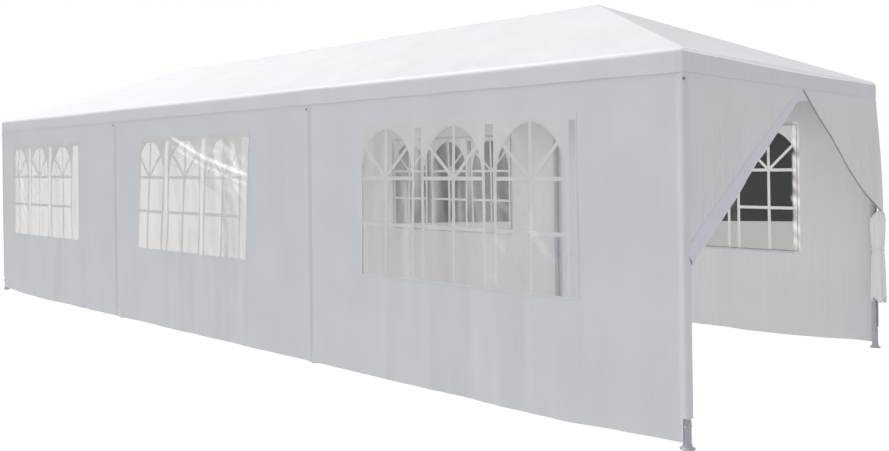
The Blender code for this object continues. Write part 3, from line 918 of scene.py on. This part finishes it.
def spandrels(low, high, centre):
    """The opaque field above the lights. Over each light it goes from the top of the print down to its arch,
    as columns between the arch's line and the upper edge. A band over the whole width closes the gaps'
    tops."""
    half = (LIGHT_WIDTH - BAR_WIDTH) / 2
    top = high.z - FILM_MARGIN
    share = np.linspace(0.0, 1.0, 10)[:, None]
    fields = []
    for number in range(LIGHTS):
        middle = centre + (number - (LIGHTS - 1) / 2) * LIGHT_PITCH
        left = max(middle - LIGHT_WIDTH / 2, low.x + FILM_MARGIN)
        right = min(middle + LIGHT_WIDTH / 2, high.x - FILM_MARGIN)
        u = np.linspace(left, right, 66)
        rise = np.sqrt(np.clip(1 - ((u - middle) / half) ** 2, 0.0, 1.0))
        v = UPPER_BAR_HEIGHT + ARCH_RISE * rise
        v = v + (top - v) * share
        fields.append((4, np.broadcast_to(u, v.shape), v))
    band_u, _ = stretches((low.x + FILM_MARGIN, high.x - FILM_MARGIN), FILM_CELL)
    band_v = np.linspace(UPPER_BAR_HEIGHT + ARCH_RISE - 0.01, top, 6)
    fields.append((5, *np.meshgrid(band_u, band_v)))
    return fields


def window_seam(low, high, width):
    """A seam round the window's hole, as one closed strip: its four sides end to end."""
    left, right = low.x + WINDOW_SEAM, high.x - WINDOW_SEAM
    bottom, top = low.z + WINDOW_SEAM, high.z - WINDOW_SEAM
    corners = [(left, bottom), (right, bottom), (right, top), (left, top)]
    across = np.linspace(-0.5, 0.5, 4)[:, None] * width
    t = np.linspace(0.0, 1.0, 90)
    sides = []
    for start, end, outward in zip(corners, corners[1:] + corners[:1], ((0, -1), (1, 0), (0, 1), (-1, 0))):
        u = start[0] + (end[0] - start[0]) * t + across * outward[0]
        v = start[1] + (end[1] - start[1]) * t + across * outward[1]
        sides.append((u, v))
    return sides


def add_window_print(side, bay, material):
    """The white print on the film, each kind of bar in a layer of its own just outside the film."""
    place, _, _, low, high = wall_placer(side, bay)
    centre = (low.x + high.x) / 2 + PRINT_SHIFTS[side][BAYS.index(bay)]
    layers = print_strips(low, high, centre) + spandrels(low, high, centre)
    pieces = []
    for layer, u, v in layers:
        u = np.clip(u, low.x + 0.004, high.x - 0.004)
        v = np.clip(v, low.z + 0.004, high.z - 0.004)
        out = film_out(side, bay, u, v, low, high) + PRINT_GAP + layer * (PRINT + 0.0001)
        pieces.append((u, v, place(u, v, out)))
    obj = add_pieces(f"print_{side}_{bay}", side, pieces, material)
    white = [film_creases(side, bay, u, v, low, high).ravel() for u, v, _ in pieces]
    keep_creases(obj, np.concatenate(white))
    give_thickness(obj, PRINT)
    return obj


def add_window_seam(name, side, bay, width, out, material):
    """One line of the seam that holds the film: a raised white one on the outside of the wall, or the edge of
    the film on the inside, a dark strip of painted shadow."""
    place, _, _, low, high = wall_placer(side, bay)
    pieces = []
    for number, (u, v) in enumerate(window_seam(low, high, width)):
        bulge = SEAM_RIDGE * np.cos(np.linspace(-1.2, 1.2, len(u)))[:, None]
        pieces.append((u, v, place(u, v, out + np.sign(out) * (0.00005 * number + bulge))))
    obj = add_pieces(f"{name}_{side}_{bay}", side, pieces, material)
    give_thickness(obj, PRINT)
    return obj


def add_pieces(name, side, pieces, material):
    """Several small grids on a long side, in one object, each facing out of the tent."""
    all_points, all_faces, all_flat, start = [], [], [], 0
    for u, v, points in pieces:
        points = points.reshape(-1, 3)
        faces = grid_faces(*u.shape, flip=SIDES[side] > 0)
        first = faces[0, 0]
        across = np.cross(points[first[1]] - points[first[0]], points[first[3]] - points[first[0]])
        if across[1] * SIDES[side] < 0:
            faces = faces[..., ::-1]
        all_points.append(points)
        all_faces.append(faces.reshape(-1, 4) + start)
        all_flat.append(stacked(u, v).reshape(-1, 2))
        start += u.size
    return add_surface(name, np.concatenate(all_points), np.concatenate(all_faces), material,
                       np.concatenate(all_flat))


# Door walls

def flap_edges(y):
    """The height of the drawn-back edges at each y: straight from the apex to the front foot, and to the back
    foot with a slight sag."""
    front = APEX[1] + (APEX[1] - FRONT_FOOT[1]) * (y - APEX[0]) / (APEX[0] - FRONT_FOOT[0])
    share = np.clip((y - APEX[0]) / (BACK_FOOT[0] - APEX[0]), 0.0, 1.0)
    back = APEX[1] + (BACK_FOOT[1] - APEX[1]) * share - 0.01 * 4 * share * (1 - share)
    return np.where(y < APEX[0], front, back)


def opening_edge(y):
    """The flaps' edges, and near the apex the lower edge of the gusset that joins them, a flat parabola."""
    gusset = GUSSET_TOP[1] - 0.6 * (y - GUSSET_TOP[0]) ** 2
    near = np.abs(y - APEX[0]) < GUSSET_REACH
    return np.where(near, np.minimum(flap_edges(y), gusset), flap_edges(y))


def flare(y, z):
    """How far the sheet stands out where its back edge is drawn down into the bundle outside the leg."""
    down = np.clip((VALANCE_HEM - z) / (VALANCE_HEM - BUNDLE_TOP), 0.0, 1.0)
    return FLARE * np.sin(math.pi / 2 * down) * smooth_step((y - 1.1) / 0.36)


def end_placer(end):
    """A function that puts points (y, z, how far out) on an end wall into the tent."""
    def place(y, z, out):
        hang = stand_out("end", HANG_SEEDS["end"], y, z)
        x = ENDS[end] * (END_X + hang + flare(y, z) + out)
        return stacked(x, y, z)

    return place


def door_folds(y, z):
    """Folds in the drawn-back cloth: they fan out from each foot, and fade towards the eaves, the legs and
    the straight edges that are pulled tight."""
    folds = np.zeros(np.broadcast(y, z).shape)
    for foot, seed, size in ((FRONT_FOOT, 41, 0.0045), (BACK_FOOT, 47, 0.0035)):
        away = np.hypot(y - foot[0], z - foot[1])
        turn = np.arctan2(z - foot[1], np.abs(y - foot[0]) + 1e-6)
        fan = waves(turn, away * 0.05, seed, (0.31, 0.19, 0.47), (0.0, 0.0))
        folds = folds + size * fan * np.exp(-((away - 0.55) / 0.5) ** 2)
    top = smooth_step((end_sheet_top - z) / 0.25)
    legs = smooth_step((HALF_WIDTH - 0.04 - np.abs(y)) / 0.12)
    tight = smooth_step((z - flap_edges(y)) / 0.3)
    return folds * top * legs * tight


def add_door_wall(end, material):
    """The sheet between the eaves and the drawn-back edges, on columns from its lower edge to its top."""
    place = end_placer(end)
    half = WALL_Y - 0.004
    y, _ = stretches((-half, APEX[0] - GUSSET_REACH, APEX[0], APEX[0] + GUSSET_REACH, half), DOOR_CELL)
    lower = opening_edge(y)
    share = np.linspace(0.0, 1.0, 56)[:, None]
    z = lower + (end_sheet_top - lower) * share
    grid_y = np.broadcast_to(y, z.shape)
    points = place(grid_y, z, door_folds(grid_y, z))
    faces = grid_faces(*z.shape, flip=ENDS[end] < 0)
    obj = add_surface(f"door_cloth_{end}", points, faces, material, stacked(grid_y, z))
    give_thickness(obj, CLOTH)
    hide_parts(f"door_wall_{end}")
    return obj


def add_flap_fold(end, material):
    """The front flap's edge, folded back on itself in a soft band that widens towards its foot. Across the
    band the cloth turns round at its free edge and comes back to the sheet with a gentle slope."""
    place = end_placer(end)
    t = np.linspace(0.0, 1.0, 120)[None, :]
    w = np.linspace(0.0, 1.0, 21)[:, None] ** 1.3
    fall = (APEX[1] - FRONT_FOOT[1]) / (APEX[0] - FRONT_FOOT[0])
    slant = math.hypot(1.0, fall)
    y = APEX[0] - 0.02 + (FRONT_FOOT[0] - APEX[0] + 0.02) * t
    z = flap_edges(y)
    width = FOLD_AT_APEX + FOLD_WIDENS * smooth_step(t / 0.12)
    width = width + FOLD_WIDENS_BELOW * smooth_step(t / 0.9) * smooth_step((1 - t) / 0.1 + 0.5)
    rise = w * width - 0.004
    band_y = np.maximum(y - rise * fall / slant, -WALL_Y)
    band_z = z + rise / slant
    round_edge = np.sqrt(1 - (1 - np.minimum(w / 0.1, 1.0)) ** 2)
    swell = round_edge * smooth_step((1 - w) / 0.9)
    uneven = 1 + 0.15 * waves(y, w * 0.1, 52, (0.53, 0.37))
    out = 0.0013 + (0.003 + 0.006 * t) * swell * uneven + door_folds(band_y, band_z)
    points = place(band_y, band_z, out)
    faces = grid_faces(*band_y.shape, flip=ENDS[end] > 0)
    flat = stacked(t * 1.78, w * 0.11)
    obj = add_surface(f"flap_fold_{end}", points, faces, material, flat)
    give_thickness(obj, CLOTH)
    return obj


def add_flap_tape(end, material):
    """The zip's tape along the back flap's edge: a narrow strip, rounded across, that follows the edge."""
    place = end_placer(end)
    y = np.linspace(APEX[0], BACK_FOOT[0] + 0.012, 130)
    z = flap_edges(y)
    across = np.linspace(-0.35, 0.65, 7)[:, None]
    steep = np.gradient(z, y)
    long = np.hypot(1.0, steep)
    tape_y = y - across * TAPE_WIDTH * steep / long
    tape_z = z + across * TAPE_WIDTH / long
    out = 0.0012 + 0.0035 * np.cos(math.pi * (across - 0.15)) + door_folds(tape_y, tape_z)
    points = place(tape_y, tape_z, out)
    faces = grid_faces(*tape_y.shape, flip=ENDS[end] < 0)
    flat = stacked(y, across * TAPE_WIDTH)
    obj = add_surface(f"flap_tape_{end}", points, faces, material, flat)
    give_thickness(obj, CLOTH)
    return obj


def add_bundle(end, place, middle, half, material):
    """A drawn-back flap that hangs in a bundle: an oval tube whose outline is pleated, narrow where it leaves
    the wall, drawn in at its tie, and opening towards its uneven foot. The pleats turn a little on the way
    down."""
    heights = (BUNDLE_TOP + 0.012, BUNDLE_TOP - 0.01, BUNDLE_TOP - 0.06, TIE_HEIGHT + 0.05, TIE_HEIGHT,
               TIE_HEIGHT - 0.05, 0.5, BUNDLE_FOOT)
    size = (0.2, 0.62, 1.0, 0.98, BUNDLE_WAIST, 0.95, 1.02, 1.08)
    share = np.linspace(0.0, 1.0, 74)[:, None]
    z = heights[0] + (heights[-1] - heights[0]) * share
    turn = full_turn(96)[None, :]
    girth = np.interp(-z, -np.array(heights), size)
    depth = 0.24 + 0.16 * smooth_step((TIE_HEIGHT - z) / 0.4)
    pleats = 0.6 * np.cos(7 * turn + 3.1 * z + 0.4) + 0.4 * np.cos(11 * turn - 4.3 * z + 1.9)
    radius = girth * (1 - depth * (0.5 - 0.5 * pleats))
    towards_wall = smooth_step((z - (BUNDLE_TOP - 0.07)) / 0.08)
    centre_x = middle[0] + (END_X + flare(middle[1], z) - middle[0]) * towards_wall
    x = centre_x + half[0] * radius * np.cos(turn)
    y = middle[1] + half[1] * radius * np.sin(turn)
    foot = smooth_step((BUNDLE_FOOT + 0.15 - z) / 0.15) * 0.022 * np.cos(3 * turn + 0.7)
    points = stacked(ENDS[end] * x, y, z + foot)
    faces = grid_faces(*points.shape[:2], round_columns=True, flip=ENDS[end] > 0)
    flat = stacked(turn * 0.06, z)
    obj = add_surface(f"flap_bundle_{place}_{end}", points, faces, material, flat)
    give_thickness(obj, CLOTH)
    return obj


def tight_line(ovals, turn):
    """The line of a ribbon drawn tight round some upright ovals (x, y, half length, half width): in each
    direction, the point of the oval that reaches furthest that way."""
    reach, x, y = [], [], []
    for middle_x, middle_y, half_x, half_y in ovals:
        long = np.hypot(half_x * np.cos(turn), half_y * np.sin(turn))
        reach.append(middle_x * np.cos(turn) + middle_y * np.sin(turn) + long)
        x.append(middle_x + half_x ** 2 * np.cos(turn) / long)
        y.append(middle_y + half_y ** 2 * np.sin(turn) / long)
    first = np.argmax(reach, axis=0)[None]
    return np.take_along_axis(np.array(x), first, 0)[0], np.take_along_axis(np.array(y), first, 0)[0]


def add_band(name, ovals, height, width, material, knot_turn):
    """A tie: a ribbon with soft edges drawn tight round upright ovals, and a small knot on it in one
    direction. The knot is a ball whose radius swells and shrinks with a wave round it."""
    turn = full_turn(96)[None, :]
    w = np.linspace(-0.5, 0.5, 7)[:, None]
    soft = TIE_THICKNESS * np.cos(math.pi * w)
    x, y = tight_line(ovals, turn)
    z = height + w * width + 0.0012 * np.cos(3 * turn + 0.5)
    points = stacked(x + soft * np.cos(turn), y + soft * np.sin(turn), z)
    band = add_surface(name, points, grid_faces(*points.shape[:2], round_columns=True), material)
    give_thickness(band, TIE_THICKNESS)
    rows = np.linspace(-math.pi / 2, math.pi / 2, 12)[:, None]
    lump = KNOT_SIZE * (1 + 0.18 * np.cos(2 * turn + 3 * rows))
    knot_x, knot_y = tight_line(ovals, np.array([knot_turn]))
    knot_x = knot_x[0] + 0.004 * math.cos(knot_turn) + lump * np.cos(rows) * np.cos(turn)
    knot_y = knot_y[0] + 0.004 * math.sin(knot_turn) + lump * np.cos(rows) * np.sin(turn)
    knot = stacked(knot_x, knot_y, height + 1.1 * lump * np.sin(rows))
    add_surface(f"{name}_knot", knot, grid_faces(12, 96, round_columns=True), material, merge=0.00005)
    return band


def add_ties(ribbon, cord):
    """Ribbons round each bundle and its leg, and one at each corner leg's foot that holds the wall to it."""
    tube, sleeve = TUBE_RADIUS + 0.0015, SLEEVE_RADIUS + 0.0013
    for end, sign in ENDS.items():
        bundles = (
            ("inner", INNER_BUNDLE, INNER_HALF, -LEG_Y, 2.3),
            ("outer", OUTER_BUNDLE, OUTER_HALF, LEG_Y, 1.9),
        )
        for place, middle, half, leg_y, knot_turn in bundles:
            leg = (sign * LEG_X, leg_y, tube, tube)
            bundle = (sign * middle[0], middle[1], *(BUNDLE_WAIST * size + 0.002 for size in half))
            turn = knot_turn if sign > 0 else math.pi - knot_turn
            add_band(f"flap_tie_{place}_{end}", [leg, bundle], TIE_HEIGHT, TIE_WIDTH, ribbon, turn)
        for side, side_sign in SIDES.items():
            leg = (sign * LEG_X, side_sign * LEG_Y, sleeve, sleeve)
            turn = math.atan2(side_sign, 0.2 * sign)
            add_band(f"leg_tie_{side}_{end}", [leg], LEG_TIE_HEIGHT, LEG_TIE_WIDTH, cord, turn)


def add_eyelets(metal, cord):
    """A ring through each wall below the valance's hem, at each corner and where two walls meet, with the
    ball of an elastic loop in it. The rings at the corners sit on the cloth's rounding."""
    turn = full_turn(24)[None, :]
    section = full_turn(12)[:, None]
    rows = np.linspace(-math.pi / 2, math.pi / 2, 10)[:, None]
    corner = WRAP_X - WRAP_ROUND
    for side, sign in SIDES.items():
        seams = [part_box(f"side_wall_{side}_{bay}")[0].x for bay in BAYS[1:]]
        places = ((-corner, -EYELET_TURN), (seams[0], 0.0), (seams[1], 0.0), (corner, EYELET_TURN))
        for number, (x, round_turn) in enumerate(places):
            across, ahead = math.cos(math.radians(round_turn)), math.sin(math.radians(round_turn))

            def place(along, out, up):
                """Points along the cloth, out of it and up it, as points in the tent."""
                depth = WRAP_ROUND + out
                y = sign * (WALL_Y - WRAP_ROUND + depth * across - along * ahead)
                return stacked(x + depth * ahead + along * across, y, EYELET_HEIGHT + up)

            ring = EYELET_RADIUS + EYELET_WIRE * np.cos(section)
            out = 0.0012 + LAP * (round_turn == 0) + 0.0015 * np.sin(section)
            points = place(ring * np.cos(turn), out, ring * np.sin(turn))
            points = np.concatenate([points, points[:1]])
            faces = grid_faces(13, 24, round_columns=True, flip=sign < 0)
            add_surface(f"eyelet_{side}_{number}", points, faces, metal, merge=0.00005)
            level = BALL_RADIUS * np.cos(rows)
            out = 0.004 + 0.8 * level * np.sin(turn)
            points = place(level * np.cos(turn), out, BALL_RADIUS * np.sin(rows))
            faces = grid_faces(10, 24, round_columns=True, flip=sign < 0)
            add_surface(f"ball_{side}_{number}", points, faces, cord, merge=0.00005)


# The frame

def add_leg(place, x, y, material):
    """A turned leg: tube, sleeve, flared skirt and a round plate with a soft edge, closed at both ends."""
    radius = (corner_leg_high.x - corner_leg_low.x) / 2
    tube, sleeve = TUBE_RADIUS, SLEEVE_RADIUS
    profile = np.array([
        (0.0, LEG_TOP), (tube - 0.001, LEG_TOP), (tube, LEG_TOP - 0.001),
        (tube, 1.2), (tube, 0.6), (tube, 0.1425),
        (sleeve - 0.0008, 0.1415), (sleeve, 0.1400), (sleeve, 0.09), (sleeve, 0.036),
        (0.0225, 0.026), (0.0252, 0.0155), (0.0288, 0.0085), (radius - 0.0045, 0.0048),
        (radius - 0.001, 0.0042), (radius, 0.0030), (radius, 0.0012), (radius - 0.0012, 0.0), (0.0, 0.0),
    ])
    sides = 40
    turn = full_turn(sides)
    points = stacked(x + profile[:, :1] * np.cos(turn), y + profile[:, :1] * np.sin(turn), profile[:, 1:])
    faces = grid_faces(len(profile), sides, round_columns=True, flip=True)
    obj = add_surface(f"leg_tube_{place}", points, faces, material, merge=0.00001)
    obj.data.set_sharp_from_angle(angle=math.radians(50))
    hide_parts(f"leg_{place}")
    return obj


def add_frame(steel):
    """Turned legs, and the steel on all the other pieces of the frame, which keep their solids' shapes."""
    places = {"right": LEG_X, "left": -LEG_X, "middle_left": -INNER_LEG_X, "middle_right": INNER_LEG_X}
    for side, sign in SIDES.items():
        for place, x in places.items():
            add_leg(f"{side}_{place}", x, sign * LEG_Y, steel)
    for name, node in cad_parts.items():
        if "fitting" in name or "pole" in name or "rafter" in name:
            for place in node.material_slots:
                place.material = steel


# Light, floor and camera

def add_camera():
    """A camera at the photo's own place: turned by its yaw, pitch and roll, and shifted so that the point
    that it looks at lies where the photo has it."""
    yaw, pitch, roll = (math.radians(turn) for turn in (CAMERA_YAW, CAMERA_PITCH, CAMERA_ROLL))
    ahead = Vector((math.cos(pitch) * math.cos(yaw), math.cos(pitch) * math.sin(yaw), math.sin(pitch)))
    level = ahead.cross(Vector((0, 0, 1))).normalized()
    above = level.cross(ahead)
    right = math.cos(roll) * level + math.sin(roll) * above
    up = math.cos(roll) * above - math.sin(roll) * level
    data = bpy.data.cameras.new("camera")
    data.sensor_width = SENSOR
    data.lens = FOCAL_PIXELS / PHOTO_WIDTH * SENSOR
    data.shift_x = (PHOTO_WIDTH / 2 - CENTRE_PIXEL[0]) / PHOTO_WIDTH
    data.shift_y = (CENTRE_PIXEL[1] - PHOTO_HEIGHT / 2) / PHOTO_WIDTH
    data.clip_end = 200.0
    camera = bpy.data.objects.new("camera", data)
    camera.matrix_world = Matrix.Translation(CAMERA_PLACE) @ Matrix((right, up, -ahead)).transposed().to_4x4()
    bpy.context.scene.collection.objects.link(camera)
    bpy.context.scene.camera = camera


def add_world():
    """A soft even sky that lights the tent. The camera sees plain white past the tent, and through the
    windows' film it sees the surroundings that the photo has there: dark beyond the long sides, pale beyond
    the ends."""
    world = bpy.data.worlds.new("studio")
    world.use_nodes = True
    bpy.context.scene.world = world
    tree = world.node_tree

    def background(colour, strength=1.0):
        return add_node(tree, "Background", {"Color": (*colour, 1.0), "Strength": strength})

    sky = background((0.93, 0.96, 1.0), SKY_STRENGTH)
    white = background((1.0, 1.0, 1.0))
    dark = background((0.024, 0.026, 0.028))
    pale = background((0.74, 0.73, 0.71))
    direction = add_node(tree, "TexCoord", output="Generated")
    sideways = add_node(tree, "SeparateXYZ", {"Vector": direction}, "Y")
    beyond_side = ramp(tree, calculate(tree, "ABSOLUTE", sideways), 0.59, 0.64)
    through_film = add_node(tree, "LightPath", output="Transparent Depth")
    seen = mix_shaders(tree, through_film, white, mix_shaders(tree, beyond_side, pale, dark))
    from_camera = add_node(tree, "LightPath", output="Is Camera Ray")
    set_surface(tree, mix_shaders(tree, from_camera, sky, seen), "World Output")


def add_light(name, kind, energy, back, place=(0.0, 0.0, 0.0), **settings):
    """A light whose back is turned one way, so that it shines the other way. The area lights aren't seen."""
    data = bpy.data.lights.new(name, kind)
    data.energy = energy
    for setting, value in settings.items():
        setattr(data, setting, value)
    light = bpy.data.objects.new(name, data)
    light.matrix_world = Matrix.Translation(place) @ Vector(back).to_track_quat("Z", "Y").to_matrix().to_4x4()
    if kind == "AREA":
        light.visible_camera = False
        light.visible_glossy = False
    bpy.context.scene.collection.objects.link(light)


def add_lights():
    """A soft sun high above the far left end, so that the roof is bright and the walls are in open shade, a
    weak fill from the front, an even light under the roof, where the real cloth lets the day through, and one
    more towards the far end, whose cloth the sun shines on."""
    add_light("sun", "SUN", SUNLIGHT, (-0.6, -0.1, 0.8), angle=math.radians(25))
    add_light("fill", "SUN", FILL_LIGHT, (-0.1, -1.0, 0.35), angle=math.radians(90))
    add_light("inside", "AREA", INSIDE_LIGHT, (0, 0, 1), (2.1, 0.0, 1.9), shape="RECTANGLE", size=4.6,
              size_y=1.7, color=(1.0, 0.95, 0.935))
    add_light("sunlit_end", "AREA", SUNLIT_END_LIGHT, (1, 0, 0), (-2.6, 0.0, 1.1), shape="RECTANGLE",
              size=2.2, size_y=1.2)


def add_floor():
    """A plain pale floor round the camera, that fades into the white behind it: mostly its own light, with a
    faint shadow. Through the windows' film it is duller beyond the back, as in the photo."""
    material, tree, shader = new_material("floor", 0.9)
    set_inputs(tree, shader, {
        "Base Color": (0.16, 0.16, 0.16, 1.0),
        "Specular IOR Level": 0.0,
        "Emission Color": (1.0, 1.0, 1.0, 1.0),
        "Emission Strength": 0.9,
    })
    inputs = {0: object_place(tree), 1: (-1.0, -1.0, 0.0)}
    past_far_end = add_node(tree, "VectorMath", inputs, "Value", operation="DOT_PRODUCT")
    tint = mix_colours(tree, ramp(tree, past_far_end, 1.0, 3.0), (0.46, 0.455, 0.435), (0.70, 0.69, 0.67))
    dull = add_node(tree, "Emission", {"Color": tint})
    lit = add_node(tree, "Emission", {"Color": (1.0, 1.0, 1.0, 1.0), "Strength": FLOOR_GLOW})
    through_film = add_node(tree, "LightPath", output="Transparent Depth")
    seen = mix_shaders(tree, through_film, shader.outputs["BSDF"], dull)
    from_camera = add_node(tree, "LightPath", output="Is Camera Ray")
    set_surface(tree, mix_shaders(tree, from_camera, lit, seen))
    bpy.ops.mesh.primitive_circle_add(vertices=180, radius=FLOOR_RADIUS, fill_type="NGON")
    floor = bpy.context.object
    floor.data.transform(Matrix.Translation((*CAMERA_PLACE[:2], 0.0)))
    floor.name = "floor"
    floor.data.materials.append(material)


def main():
    bpy.context.scene.view_settings.view_transform = "Standard"
    cloths = {name: cloth_material(name, *look) for name, look in CLOTHS.items()}
    plain = {name: plain_material(name, *look) for name, look in PLAIN_FINISHES.items()}
    film = film_material()
    # The print in two copies of one white: darker as painted shade on the front, lighter as painted light on
    # the back.
    prints = {
        "front": print_material("print_in_shade", PRINT_IN_SHADE),
        "back": print_material("print_in_light", PRINT_IN_LIGHT),
    }
    # The two long sides' walls are copies of one cloth, darker than the roof's as painted shade.
    walls = {"front": cloths["wall_cloth"], "back": cloths["back_wall_cloth"]}
    steel = painted_steel()
    add_frame(steel)
    # The valances' cloths are darker copies of the cover's as painted shade, and the welt's finish on the end
    # edges is a painted highlight.
    roof_materials = [cloths[name] for name in ("cover_cloth", "valance_cloth", "end_valance_cloth")]
    add_roof_cover(*roof_materials, plain["welt_painted_highlight"])
    for side in SIDES:
        for bay in BAYS:
            add_side_wall(side, bay, walls[side])
            add_window_film(side, bay, film)
            add_window_print(side, bay, prints[side])
            add_window_seam("seam", side, bay, SEAM_WIDTH, SEAM_OUT, plain["seam_plastic"])
            # The film's edge on the inside, dark with painted shadow.
            add_window_seam("film_edge", side, bay, FILM_EDGE_WIDTH, FILM_EDGE_OUT, plain["film_edge"])
    # The door walls, the folded band and the bundles are copies of one cloth whose colours carry painted
    # light and shade.
    for end in ENDS:
        add_eave_welt(end, plain["welt_painted_highlight"])
        add_door_wall(end, cloths["door_cloth"])
        add_flap_fold(end, cloths["fold_cloth"])
        add_flap_tape(end, plain["zip_tape"])
        add_bundle(end, "inner", INNER_BUNDLE, INNER_HALF, cloths["bundle_cloth"])
        add_bundle(end, "outer", OUTER_BUNDLE, OUTER_HALF, cloths["bundle_cloth"])
    add_ties(plain["tie_ribbon"], plain["tie_cord"])
    add_eyelets(steel, plain["dark_plastic"])
    add_camera()
    add_world()
    add_lights()
    add_floor()


main()
